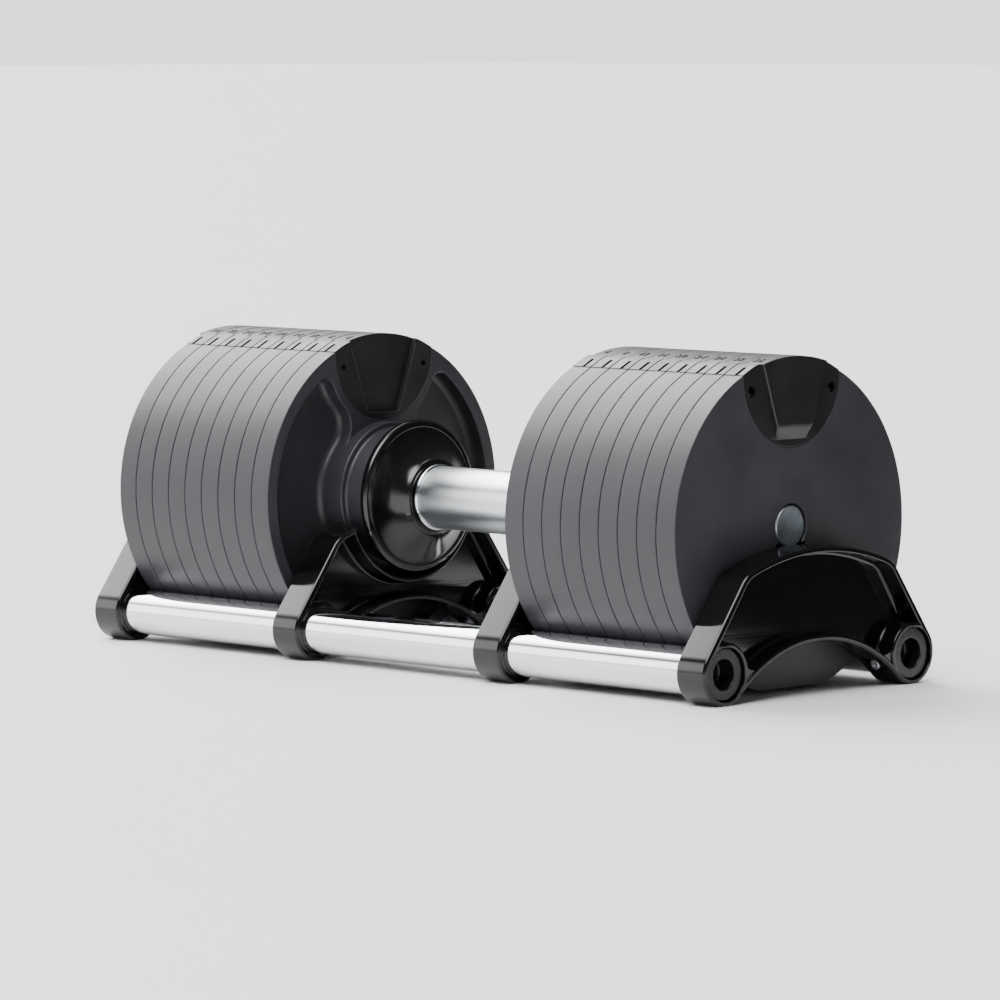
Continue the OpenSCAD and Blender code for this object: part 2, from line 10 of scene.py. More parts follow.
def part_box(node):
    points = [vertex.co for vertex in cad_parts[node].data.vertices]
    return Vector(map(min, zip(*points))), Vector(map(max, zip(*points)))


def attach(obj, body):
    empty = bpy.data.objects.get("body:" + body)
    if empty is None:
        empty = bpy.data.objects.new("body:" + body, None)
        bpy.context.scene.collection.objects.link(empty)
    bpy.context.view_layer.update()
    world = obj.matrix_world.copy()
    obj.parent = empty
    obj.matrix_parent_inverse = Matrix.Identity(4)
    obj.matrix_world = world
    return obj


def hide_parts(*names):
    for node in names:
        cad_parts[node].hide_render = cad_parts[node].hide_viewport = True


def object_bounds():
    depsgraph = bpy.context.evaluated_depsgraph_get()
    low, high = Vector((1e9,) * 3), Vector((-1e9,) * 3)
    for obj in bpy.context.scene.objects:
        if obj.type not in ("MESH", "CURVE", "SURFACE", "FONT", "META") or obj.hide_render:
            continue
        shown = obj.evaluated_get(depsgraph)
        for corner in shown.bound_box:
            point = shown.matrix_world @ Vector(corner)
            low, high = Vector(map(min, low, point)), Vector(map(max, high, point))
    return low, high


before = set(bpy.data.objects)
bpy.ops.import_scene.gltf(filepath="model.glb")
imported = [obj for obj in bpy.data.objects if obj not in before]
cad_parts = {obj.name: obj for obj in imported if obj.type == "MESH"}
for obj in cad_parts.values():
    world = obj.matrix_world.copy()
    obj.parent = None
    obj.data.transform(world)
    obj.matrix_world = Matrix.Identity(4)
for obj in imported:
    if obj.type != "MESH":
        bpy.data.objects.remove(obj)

bl_info = {
    "name": "Adjustable dumbbell",
    "version": (1, 0, 0),
    "blender": (4, 5, 0),
    "location": "View3D > Sidebar > Dumbbell",
    "description": "Builds the visible pieces and finishes of an adjustable dumbbell and its cradle",
    "category": "Object",
}

# ---- Sizes that the frame gives, in metres. Outlines are drawn across the handle, in Y and Z,
# ---- with the handle's centre line at 0, 0.

MM = 0.001
X, Y, Z = 0, 1, 2
CAD_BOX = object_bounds()


def span(node, axis):
    """Lowest and highest coordinate of a CAD node along one axis."""
    low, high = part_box(node)
    return low[axis], high[axis]


AXIS_Z = sum(span("grip_sleeve", Z)) / 2
PLATES = sum(1 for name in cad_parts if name.startswith("plate_right_"))
PLATE_X0, PLATE_X1 = span("plate_right_1", X)
PLATE_T = PLATE_X1 - PLATE_X0
PITCH = span("plate_right_2", X)[0] - PLATE_X0
INNER_X = PLATE_X0 - PITCH
PLATE_R = span("plate_right_1", Y)[1]
PLATE_FLAT = AXIS_Z - span("plate_right_1", Z)[0]
HUB_X0 = span("hub_plate_right", X)[0]
KEY_X1 = span("keystone_outer_right", X)[1]
KEY_TOP = span("keystone_outer_right", Z)[1] - AXIS_Z
WEDGE_D = KEY_X1 - INNER_X - PLATES * PITCH - PLATE_T
FLANGE_X0, FLANGE_X1 = span("flange_right", X)
FLANGE_R = span("flange_right", Y)[1]
GRIP_X, GRIP_R = span("grip_sleeve", X)[1], span("grip_sleeve", Y)[1]
GRIP_BORE = span("cam_tube", Y)[1]
COLLAR_X1, COLLAR_R = span("grip_collar_right", X)[1], span("grip_collar_right", Y)[1]
TUBE_X = span("cradle_tube_rear", X)[1]
TUBE_Z = sum(span("cradle_tube_rear", Z)) / 2
TUBE_Y = sum(span("cradle_tube_rear", Y)) / 2
TUBE_R = span("cradle_tube_rear", Y)[1] - TUBE_Y
ARCH_X0, ARCH_X1 = span("outer_arch_right", X)
INNER_ARCH_X0, INNER_ARCH_X1 = span("inner_arch_right", X)
BOSS_R = span("outer_arch_right", Y)[1] - TUBE_Y
CROWN_DROP = AXIS_Z - span("outer_arch_right", Z)[1]
PLUG_X1, PLUG_R = span("tube_end_plugs", X)[1], span("tube_end_plugs", Y)[1] - TUBE_Y
BOSS = (TUBE_Y, TUBE_Z - AXIS_Z)
FLOOR = -AXIS_Z


# ---- Sizes and colours that a user would change ----


class DumbbellPlateSizes(bpy.types.PropertyGroup):
    """Sizes of the plates and the keystones in them"""

    edge: FloatProperty(
        name="Rim edge", description="Rounding on the rim of a plate", default=0.5 * MM, unit="LENGTH",
    )
    hole: FloatProperty(
        name="Rod hole", description="Radius of the hole for the rod", default=12 * MM, unit="LENGTH",
    )
    notch_half: FloatProperty(
        name="Notch half width", description="Half width of the notch at its foot",
        default=13.5 * MM, unit="LENGTH",
    )
    notch_foot: FloatProperty(
        name="Notch foot", description="Depth of the notch below the centre",
        default=17 * MM, unit="LENGTH",
    )
    pocket: FloatProperty(
        name="Pocket radius", description="Radius of the keystone's pocket", default=37 * MM, unit="LENGTH",
    )
    pocket_drop: FloatProperty(
        name="Pocket drop", description="Rim down to the pocket's centre", default=9.5 * MM, unit="LENGTH",
    )
    web: FloatProperty(
        name="Web", description="Steel left in the middle of the pocket", default=3.2 * MM, unit="LENGTH",
    )
    cap: FloatProperty(
        name="Cap", description="Depth of the plastic over the web", default=5 * MM, unit="LENGTH",
    )
    wedge_top: FloatProperty(
        name="Wedge top", description="Half width of the wedge at the rim",
        default=25.4 * MM, unit="LENGTH",
    )
    wedge_foot: FloatProperty(
        name="Wedge foot", description="Half width of the wedge at its foot",
        default=11.4 * MM, unit="LENGTH",
    )
    wedge_h: FloatProperty(
        name="Wedge height", description="Foot of the wedge up to the rim", default=42 * MM, unit="LENGTH",
    )
    wedge_slope: FloatProperty(
        name="Wedge slope", description="Height of the slope at the foot", default=7 * MM, unit="LENGTH",
    )
    screw_at: FloatProperty(
        name="Screw distance", description="Pocket centre to a keystone screw",
        default=31.4 * MM, unit="LENGTH",
    )
    screw_head: FloatProperty(
        name="Screw head", description="Radius of a keystone screw's head", default=2.7 * MM, unit="LENGTH",
    )
    digit: FloatProperty(
        name="Digit height", description="Height of the raised numbers", default=7 * MM, unit="LENGTH",
    )
    digit_angle: FloatProperty(
        name="Digit angle", description="From the top to the numbers",
        default=radians(12.5), subtype="ANGLE",
    )
    bead: FloatProperty(
        name="Bead", description="Radius of the bead round a hub keystone's recess",
        default=0.4 * MM, unit="LENGTH",
    )
    step: IntProperty(name="Weight step", description="What one more pair of plates adds", default=4)


class DumbbellHubSizes(bpy.types.PropertyGroup):
    """Sizes of the dished plates at the handle"""

    rim: FloatProperty(
        name="Rim", description="Width of the rim round the dish", default=7.6 * MM, unit="LENGTH",
    )
    dish: FloatProperty(name="Dish depth", description="Depth of the dish", default=9.4 * MM, unit="LENGTH")
    rib: FloatProperty(
        name="Rib", description="Width of the rib round the keystone", default=4.5 * MM, unit="LENGTH",
    )
    hub: FloatProperty(
        name="Hub radius", description="Radius of the hub's large step", default=40 * MM, unit="LENGTH",
    )
    nose: FloatProperty(
        name="Nose radius", description="Radius of the hub's small step", default=36.5 * MM, unit="LENGTH",
    )
    step: FloatProperty(
        name="Hub step", description="Length of the large step", default=8 * MM, unit="LENGTH",
    )
    rib_fillet: FloatProperty(
        name="Rib fillet", description="Rounding where rib and rim meet", default=7 * MM, unit="LENGTH",
    )
    hub_fillet: FloatProperty(
        name="Hub fillet", description="Rounding where rib and hub meet", default=15 * MM, unit="LENGTH",
    )
    floor_fillet: FloatProperty(
        name="Floor fillet", description="Rounding at the dish floor", default=4 * MM, unit="LENGTH",
    )


class DumbbellCradleSizes(bpy.types.PropertyGroup):
    """Sizes of the arches, tubes, plugs and set screws"""

    wall: FloatProperty(name="Tube wall", description="Wall of the tubes", default=2 * MM, unit="LENGTH")
    rim: FloatProperty(
        name="Arch rim", description="Thickness of an arch's rim", default=3 * MM, unit="LENGTH",
    )
    edge: FloatProperty(
        name="Arch edge", description="Rounding on an arch's edges", default=1.5 * MM, unit="LENGTH",
    )
    fillet: FloatProperty(
        name="Arch fillet", description="Rounding between rim and web", default=2 * MM, unit="LENGTH",
    )
    recess: FloatProperty(
        name="Deep recess", description="Depth of the outer recess", default=11 * MM, unit="LENGTH",
    )
    back: FloatProperty(
        name="Shallow recess", description="Depth of the inner recess", default=3 * MM, unit="LENGTH",
    )
    crown: FloatProperty(
        name="Crown radius", description="Radius of the arch's crown", default=150 * MM, unit="LENGTH",
    )
    shoulder: FloatProperty(
        name="Shoulder radius", description="Radius of the shoulders", default=18 * MM, unit="LENGTH",
    )
    shoulder_angle: FloatProperty(
        name="Shoulder angle", description="Where the shoulders start",
        default=radians(20), subtype="ANGLE",
    )
    under: FloatProperty(
        name="Underside", description="Centre line down to the underside", default=58 * MM, unit="LENGTH",
    )
    notch: FloatProperty(
        name="Notch radius", description="Radius of the notch for a flange", default=45 * MM, unit="LENGTH",
    )
    sink: FloatProperty(
        name="Sink radius", description="Radius of the sink at a tube's end",
        default=14 * MM, unit="LENGTH",
    )
    hollow: FloatProperty(
        name="Plug hollow", description="Radius of the hollow in a plug", default=7.8 * MM, unit="LENGTH",
    )
    set_screw: FloatProperty(
        name="Set screw", description="Radius of a set screw", default=3 * MM, unit="LENGTH",
    )
    set_slope: FloatProperty(
        name="Set screw slope", description="Slope of a set screw below level",
        default=radians(15), subtype="ANGLE",
    )


class DumbbellColours(bpy.types.PropertyGroup):
    """sRGB colours of the finishes"""

    plate: StringProperty(name="Plates", description="Powder coat on the plates", default="#2D2D32")
    keystone: StringProperty(name="Keystones", description="Nylon of the keystones", default="#161619")
    arch: StringProperty(name="Arches", description="Enamel on the arches", default="#08080A")
    flange: StringProperty(name="Flanges", description="Moulding of the flanges", default="#0A0A0C")
    chrome: StringProperty(name="Chrome", description="Bright chrome plate", default="#E6E8EC")
    grip: StringProperty(name="Grip", description="Satin chrome of the grip", default="#DDE2E6")
    rod: StringProperty(name="Rods", description="Zinc plate on the rod ends", default="#B0BAC2")
    plug: StringProperty(name="Plugs", description="Polythene of the end plugs", default="#121214")


class DumbbellStage(bpy.types.PropertyGroup):
    """Camera and floor"""

    azimuth: FloatProperty(
        name="Azimuth", description="Camera's turn round the object",
        default=radians(45.1), subtype="ANGLE",
    )
    elevation: FloatProperty(
        name="Elevation", description="Camera's height angle", default=radians(4.7), subtype="ANGLE",
    )
    distance: FloatProperty(name="Distance", description="Camera to object", default=3.11, unit="LENGTH")
    lens: FloatProperty(name="Lens", description="Focal length in millimetres", default=206.0)
    floor: StringProperty(name="Floor", description="Colour of the floor", default="#E4E4E4")


GROUPS = {
    "dumbbell_plates": DumbbellPlateSizes,
    "dumbbell_hub": DumbbellHubSizes,
    "dumbbell_cradle": DumbbellCradleSizes,
    "dumbbell_colours": DumbbellColours,
    "dumbbell_stage": DumbbellStage,
}


# ---- Outlines: lists of (y, z) points ----


def arc(centre, radius, start, end, steps, ends=True):
    """Points of an arc. Angles are in degrees from +Y towards +Z."""
    last = steps + 1 if ends else steps
    angles = [radians(start + (end - start) * i / steps) for i in range(last)]
    return [(centre[0] + radius * cos(a), centre[1] + radius * sin(a)) for a in angles]


def circle(radius, centre=(0, 0), steps=96):
    return arc(centre, radius, 0, 360, steps, ends=False)


def both_sides(right):
    """A closed outline from its right half, given from one end of the middle line to the other."""
    return right + [(-y, z) for y, z in reversed(right) if y > 1e-9]


def angle_of(point, centre=(0, 0)):
    return degrees(atan2(point[1] - centre[1], point[0] - centre[0]))


def polar(centre, radius, angle):
    return (centre[0] + radius * cos(radians(angle)), centre[1] + radius * sin(radians(angle)))


def rounded(corners, steps=5):
    """A closed outline from corners (a, b, radius), each turned into an arc of its radius."""
    points = []
    for i, (a, b, radius) in enumerate(corners):
        here = Vector((a, b))
        to_last = Vector(corners[i - 1][:2]) - here
        to_next = Vector(corners[(i + 1) % len(corners)][:2]) - here
        if radius <= 0 or to_last.length < 1e-9 or to_next.length < 1e-9:
            points.append((a, b))
            continue
        u, v = to_last.normalized(), to_next.normalized()
        half = u.angle(v) / 2
        if half > radians(89):
            points.append((a, b))
            continue
        centre = here + (u + v).normalized() * radius / sin(half)
        start = here + u * radius / tan(half) - centre
        end = here + v * radius / tan(half) - centre
        turn = start.angle_signed(end)
        for k in range(steps + 1):
            spoke = start.copy()
            spoke.rotate(Matrix.Rotation(-turn * k / steps, 2))
            points.append(tuple(centre + spoke))
    return points


def edge_steps(radius, steps=4):
    """(inset, depth) pairs round a convex edge, from the face to the side."""
    turns = [pi / 2 * k / steps for k in range(steps + 1)]
    return [(radius * (1 - sin(a)), radius * (1 - cos(a))) for a in turns]


def fillet_steps(radius, steps=4):
    """(inset, height) pairs round a concave corner, from the wall to the floor."""
    turns = [pi / 2 * k / steps for k in range(steps + 1)]
    return [(radius * (1 - cos(a)), radius * (1 - sin(a))) for a in turns]


# ---- Meshes ----


class Skin:
    """Collects rings of points and the faces between them, then becomes one mesh."""

    def __init__(self):
        self.points, self.faces = [], []

    def ring(self, outline, x):
        first = len(self.points)
        self.points += [(x, y, z) for y, z in outline]
        return list(range(first, len(self.points)))

    def walls(self, rings):
        for a, b in zip(rings, rings[1:]):
            for i in range(len(a)):
                j = (i + 1) % len(a)
                self.faces.append((a[i], a[j], b[j], b[i]))

    def cap(self, outer, *holes):
        loops = [outer, *holes]
        order = [i for loop in loops for i in loop]
        shapes = [[Vector((*self.points[i][1:], 0)) for i in loop] for loop in loops]
        self.faces += [tuple(order[i] for i in corners) for corners in tessellate_polygon(shapes)]

    def lathe(self, outline, centre=(0, 0), steps=96):
        """Turns a closed outline of (x, radius) points about a line along X."""
        rings = []
        for k in range(steps):
            turn = 2 * pi * k / steps
            first = len(self.points)
            self.points += [
                (x, centre[0] + r * cos(turn), centre[1] + r * sin(turn)) for x, r in outline
            ]
            rings.append(list(range(first, len(self.points))))
        self.walls(rings + rings[:1])

    def block(self, outline, x0, x1):
        """A plain prism between two places along X."""
        rings = [self.ring(outline, x0), self.ring(outline, x1)]
        self.walls(rings)
        self.cap(rings[0])
        self.cap(rings[1])

    def mesh(self, name, place=Matrix.Identity(4)):
        shape = bmesh.new()
        corners = [shape.verts.new(place @ Vector(p)) for p in self.points]
        for face in self.faces:
            if len(set(face)) > 2:
                shape.faces.new([corners[i] for i in dict.fromkeys(face)])
        bmesh.ops.remove_doubles(shape, verts=shape.verts, dist=1e-6)
        bmesh.ops.dissolve_degenerate(shape, edges=shape.edges, dist=1e-6)
        bmesh.ops.recalc_face_normals(shape, faces=shape.faces)
        made = bpy.data.meshes.new(name)
        shape.to_mesh(made)
        shape.free()
        return made


def joined(name, parts):
    """One mesh out of several (mesh, placing matrix) pairs."""
    shape = bmesh.new()
    for part, place in parts:
        copy = part.copy()
        copy.transform(place)
        shape.from_mesh(copy)
        bpy.data.meshes.remove(copy)
    made = bpy.data.meshes.new(name)
    shape.to_mesh(made)
    shape.free()
    return made


def carved(mesh, cuts):
    """The mesh after boolean steps, each a (operation, cutter mesh) pair."""
    body = bpy.data.objects.new("carving", mesh)
    bpy.context.scene.collection.objects.link(body)
    cutters = []
    for operation, cutter in cuts:
        tool = bpy.data.objects.new("cutter", cutter)
        bpy.context.scene.collection.objects.link(tool)
        cutters.append(tool)
        step = body.modifiers.new("cut", "BOOLEAN")
        step.operation, step.object, step.solver = operation, tool, "EXACT"
    bpy.context.view_layer.update()
    made = bpy.data.meshes.new_from_object(body.evaluated_get(bpy.context.evaluated_depsgraph_get()))
    for unused in [body, *cutters]:
        bpy.data.objects.remove(unused)
    if not made.polygons:
        raise RuntimeError(f"nothing is left of {mesh.name} after its cuts")
    return made


def on_axis(x=0.0, flipped=False):
    """Lifts a piece drawn round 0, 0 onto the handle's line, and moves or turns it along it."""
    place = Matrix.Translation((0, 0, AXIS_Z))
    if flipped:
        place = place @ Matrix.Rotation(pi, 4, "Z")
    return place @ Matrix.Translation((x, 0, 0))


SIDES = {"right": False, "left": True}


def add_piece(name, mesh, material, body, nodes=(), sharp=38):
    """Shows a mesh as a piece that rides on a CAD body and stands for its nodes."""
    mesh.name = name
    mesh.materials.clear()
    mesh.materials.append(material)
    for face in mesh.polygons:
        face.material_index = 0
    mesh.shade_smooth()
    mesh.set_sharp_from_angle(angle=radians(sharp))
    piece = bpy.data.objects.new(name, mesh)
    bpy.context.scene.collection.objects.link(piece)
    weigh = piece.modifiers.new("flat faces stay flat", "WEIGHTED_NORMAL")
    weigh.keep_sharp = True
    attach(piece, body)
    if nodes:
        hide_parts(*nodes)
    return piece


# ---- Finishes ----


def linear(code):
    """An sRGB hex colour as linear red, green, blue and alpha."""
    parts = [int(code[i:i + 2], 16) / 255 for i in (1, 3, 5)]
    return [c / 12.92 if c <= 0.04045 else ((c + 0.055) / 1.055) ** 2.4 for c in parts] + [1.0]


def add_node(tree, kind, settings=(), links=()):
    """Adds a node, sets its properties or sockets by name, and links its inputs."""
    node = tree.nodes.new(kind)
    for key, value in dict(settings).items():
        if isinstance(key, int) or key in node.inputs:
            node.inputs[key].default_value = value
        else:
            setattr(node, key, value)
    for key, source in dict(links).items():
        tree.links.new(source, node.inputs[key])
    return node


def per_mm(size):
    """Noise scale that gives features of a size in millimetres."""
    return 1 / (size * MM)


def make_finish(
    name, colour, metallic, roughness, ior=1.5, grain=1.0, depth=0.01, mottle=30.0,
    shade=0.06, rough_spread=0.05, longer=(1, 1, 1), turn=(0, 0, 0), scuff=0.0,
):
    """A material with a fine grain for its bump and a broad mottle for its colour and roughness.
    grain, depth and mottle are millimetres. longer draws the grain out after turn has tilted it,
    and scuff lightens small rubbed marks."""
    material = bpy.data.materials.get(name)
    if material:
        return material
    material = bpy.data.materials.new(name)
    material.use_nodes = True
    tree = material.node_tree
    tree.nodes.clear()
    place = add_node(tree, "ShaderNodeTexCoord").outputs["Object"]
    drawn = add_node(
        tree, "ShaderNodeMapping", {"vector_type": "TEXTURE", "Scale": longer, "Rotation": turn},
        {"Vector": place},
    ).outputs["Vector"]
    fine = add_node(
        tree, "ShaderNodeTexNoise",
        {"Scale": per_mm(grain), "Detail": 3.0, "Roughness": 0.6}, {"Vector": drawn},
    ).outputs["Fac"]
    broad = add_node(
        tree, "ShaderNodeTexNoise",
        {"Scale": per_mm(mottle), "Detail": 4.0, "Roughness": 0.55}, {"Vector": place},
    ).outputs["Fac"]
    base = linear(colour)
    dark = [c * (1 - shade) for c in base[:3]] + [1.0]
    light = [min(1.0, c * (1 + shade)) for c in base[:3]] + [1.0]
    half = add_node(tree, "ShaderNodeMath", {"operation": "MULTIPLY", 1: 0.5}, {0: broad}).outputs[0]
    mixed = add_node(
        tree, "ShaderNodeMath", {"operation": "MULTIPLY_ADD", 1: 0.5}, {0: fine, 2: half}
    ).outputs[0]
    tint = add_node(tree, "ShaderNodeValToRGB", {}, {"Fac": mixed})
    tint.color_ramp.elements[0].position, tint.color_ramp.elements[0].color = 0.35, dark
    tint.color_ramp.elements[1].position, tint.color_ramp.elements[1].color = 0.65, light
    paint = tint.outputs["Color"]
    if scuff:
        marks = add_node(
            tree, "ShaderNodeTexNoise",
            {"Scale": per_mm(7.0), "Detail": 6.0, "Roughness": 0.7, "Distortion": 1.2}, {"Vector": place},
        ).outputs["Fac"]
        rub = add_node(
            tree, "ShaderNodeMapRange",
            {"From Min": 0.66, "From Max": 0.78, "To Min": 0.0, "To Max": scuff}, {"Value": marks},
        ).outputs["Result"]
        worn = add_node(
            tree, "ShaderNodeMix", {"data_type": "RGBA"}, {0: rub, 6: paint},
        )
        worn.inputs[7].default_value = (0.22, 0.22, 0.23, 1)
        paint = worn.outputs[2]
    rough = add_node(
        tree, "ShaderNodeMapRange",
        {
            "From Min": 0.3, "From Max": 0.7,
            "To Min": max(0.01, roughness - rough_spread), "To Max": min(1.0, roughness + rough_spread),
        },
        {"Value": broad},
    ).outputs["Result"]
    bump = add_node(
        tree, "ShaderNodeBump", {"Strength": 1.0, "Distance": depth * MM}, {"Height": fine}
    ).outputs["Normal"]
    shader = add_node(
        tree, "ShaderNodeBsdfPrincipled", {"Metallic": metallic},
        {"Base Color": paint, "Roughness": rough, "Normal": bump},
    )
    if not metallic:
        shader.inputs["IOR"].default_value = ior
    add_node(tree, "ShaderNodeOutputMaterial", {}, {"Surface": shader.outputs["BSDF"]})
    return material


def powder_coat(colours):
    # Powder coat over cast iron: a satin charcoal skin with a fine dry speckle. The real speckle
    # is about 0.3 mm and is drawn at 0.9 mm so that it shows.
    return make_finish(
        "powder_coated_iron", colours.plate, 0.0, 0.43, grain=0.9, depth=0.05, mottle=35,
        shade=0.22, rough_spread=0.04, scuff=0.25,
    )


def moulded_nylon(colours):
    # Glass-filled nylon, moulded: a dull black with a faint mould grain
    return make_finish(
        "moulded_nylon", colours.keystone, 0.0, 0.42, ior=1.53, grain=0.8, depth=0.02, mottle=18,
        shade=0.12, rough_spread=0.07, scuff=0.2,
    )


def gloss_enamel(colours):
    # Stoved enamel on a die casting: deep black and wet-looking, with a very soft orange peel
    return make_finish(
        "gloss_enamel", colours.arch, 0.0, 0.1, grain=9, depth=0.01, mottle=40,
        shade=0.10, rough_spread=0.03,
    )


def gloss_moulding(colours):
    # Polished phenolic: black, with soft-edged reflections
    return make_finish(
        "gloss_phenolic", colours.flange, 0.0, 0.16, ior=1.6, grain=6, depth=0.004, mottle=25,
        shade=0.10, rough_spread=0.04,
    )


def bright_chrome(colours):
    # Polished chrome plate: a mirror with faint polishing lines round the tube
    return make_finish(
        "bright_chrome", colours.chrome, 1.0, 0.045, grain=1.6, depth=0.0012, mottle=45,
        shade=0.02, rough_spread=0.02, longer=(1, 8, 8),
    )


def satin_chrome(colours):
    # Satin chrome: bead-blasted under the plate, so reflections blur and a fine grain glitters
    return make_finish(
        "satin_chrome", colours.grip, 1.0, 0.3, grain=0.9, depth=0.004, mottle=20,
        shade=0.03, rough_spread=0.03,
    )


def zinc_plate(colours):
    # Blue-grey zinc on sawn and brushed bar: slanting brush lines about 1 mm apart
    return make_finish(
        "brushed_zinc", colours.rod, 1.0, 0.42, grain=1.1, depth=0.03, mottle=12,
        shade=0.22, rough_spread=0.08, longer=(1, 1, 7), turn=(radians(-40), 0, 0),
    )


def moulded_polythene(colours):
    # Black polythene: moulded, slightly waxy
    return make_finish(
        "moulded_polythene", colours.plug, 0.0, 0.3, ior=1.51, grain=1.2, depth=0.01, mottle=12,
        shade=0.1, rough_spread=0.06,
    )


def metal(name, colour, roughness):
    """A machined metal inside the handle, with turning marks about 0.5 mm apart."""
    return make_finish(
        name, colour, 1.0, roughness, grain=0.5, depth=0.004, mottle=10, shade=0.08,
        longer=(1, 5, 5),
    )


# Finish of each CAD node that stays in sight as it is
NODE_FINISHES = {
    "core_tube": ("machined_steel", "#A6A9AE", 0.3),
    "cam_tube": ("machined_steel", "#A6A9AE", 0.3),
    "hub_screws": ("black_oxide", "#2B2B2E", 0.35),
    "detent_plunger": ("turned_brass", "#C7A45A", 0.25),
    "detent_ball": ("hardened_steel", "#C4C6CA", 0.12),
    "follower_pin_left": ("hardened_steel", "#C4C6CA", 0.12),
    "follower_pin_right": ("hardened_steel", "#C4C6CA", 0.12),
    "grip_bush_left": ("sintered_bronze", "#A88552", 0.45),
    "grip_bush_right": ("sintered_bronze", "#A88552", 0.45),
}


# ---- Plates ----


def plate_outline(p, inset, pocket_inset=0.0):
    """A plate's rim, its bottom flat and the round pocket in its top."""
    rim, flat = PLATE_R - inset, PLATE_FLAT - inset
    key_z, pocket = PLATE_R - p.pocket_drop, p.pocket + pocket_inset
    top_z = (rim ** 2 - pocket ** 2 + key_z ** 2) / (2 * key_z)
    top = (sqrt(rim ** 2 - top_z ** 2), top_z)
    low = (sqrt(rim ** 2 - flat ** 2), -flat)
    right = [(0, -flat), (low[0] / 2, -flat)]
    right += arc((0, 0), rim, angle_of(low), angle_of(top), 84)
    right += arc((0, key_z), pocket, angle_of(top, (0, key_z)), -90, 24)[1:]
    return both_sides(right)


def hole_outline(p, grow):
    """The hole for the rod with its flared notch."""
    radius = p.hole + grow
    ledge_z, ledge = -0.7 * p.hole, p.notch_half - 3 * MM + grow
    side = (sqrt(radius ** 2 - ledge_z ** 2), ledge_z)
    foot = -p.notch_foot - grow
    right = [(0, foot), (p.notch_half + grow, foot), (ledge, ledge_z)]
    return both_sides(right + arc((0, 0), radius, angle_of(side), 90, 24))


def add_rim(skin, p, outline):
    """Both faces' rings and the rim between them. Returns the rings at the two faces."""
    side = edge_steps(p.edge)
    levels = side + [(d, PLATE_T - x) for d, x in reversed(side)]
    rings = [skin.ring(outline(p, d, 0.4 * d), x) for d, x in levels]
    skin.walls(rings)
    return rings[0], rings[-1]


def plate_mesh(p):
    skin = Skin()
    inner, outer = add_rim(skin, p, plate_outline)
    lip = 0.5 * MM
    side = edge_steps(lip, 3)
    levels = side + [(d, PLATE_T - x) for d, x in reversed(side)]
    rings = [skin.ring(hole_outline(p, d), x) for d, x in levels]
    skin.walls(rings)
    skin.cap(inner, rings[0])
    skin.cap(outer, rings[-1])
    web_x = (PLATE_T - p.web) / 2
    skin.block(web_outline(p, 0.05 * MM), web_x, web_x + p.web)
    return skin.mesh("plate")


def web_outline(p, grow):
    """The part of the pocket below the cap."""
    key_z, pocket, top_r = PLATE_R - p.pocket_drop, p.pocket + grow, PLATE_R - p.cap
    top_z = (top_r ** 2 - pocket ** 2 + key_z ** 2) / (2 * key_z)
    top = (sqrt(top_r ** 2 - top_z ** 2), top_z)
    right = arc((0, key_z), pocket, -90, angle_of(top, (0, key_z)), 24)
    right += arc((0, 0), top_r, angle_of(top), 90, 10)[1:]
    return both_sides(right)


# ---- Keystones ----


def key_outline(p, inset, top_r):
    """A keystone: the round pocket's shape under a top that stands proud of the rim."""
    key_z, pocket = PLATE_R - p.pocket_drop, p.pocket - 0.1 * MM - inset
    low_r, top_r = PLATE_R + 0.35 * MM - inset, top_r - inset
    end_z = (low_r ** 2 - pocket ** 2 + key_z ** 2) / (2 * key_z)
    end = (sqrt(low_r ** 2 - end_z ** 2), end_z)
    right = arc((0, key_z), pocket, -90, angle_of(end, (0, key_z)), 30)
    start = angle_of(end)
    for k in range(1, 25):
        turn = start + (90 - start) * k / 24
        blend = min(1.0, (turn - start) / 7)
        blend = blend * blend * (3 - 2 * blend)
        right.append(polar((0, 0), low_r + (top_r - low_r) * blend, turn))
    return both_sides(right)


def wedge_outline(p, rise, inset, top_r):
    """A wedge at a height over the plate's face. Its foot climbs the slope."""
    foot = PLATE_R - p.wedge_h + p.wedge_slope * rise / WEDGE_D + inset
    lean = (p.wedge_top - p.wedge_foot) / p.wedge_h

    def half(z):
        return p.wedge_foot + lean * (z - PLATE_R + p.wedge_h) - inset

    top = top_r - inset
    turn = atan2(top, half(top))
    corner_z = top * sin(turn)
    right = [(0, foot), (half(foot) - 1.2 * MM, foot), (half(foot + 0.9 * MM), foot + 0.9 * MM)]
    for k in range(1, 9):
        z = foot + (corner_z - foot) * k / 8
        right.append((half(z), z))
    corner = (half(corner_z), corner_z)
    right += arc((0, 0), hypot(*corner), angle_of(corner), 90, 8)[1:]
    return both_sides(right)


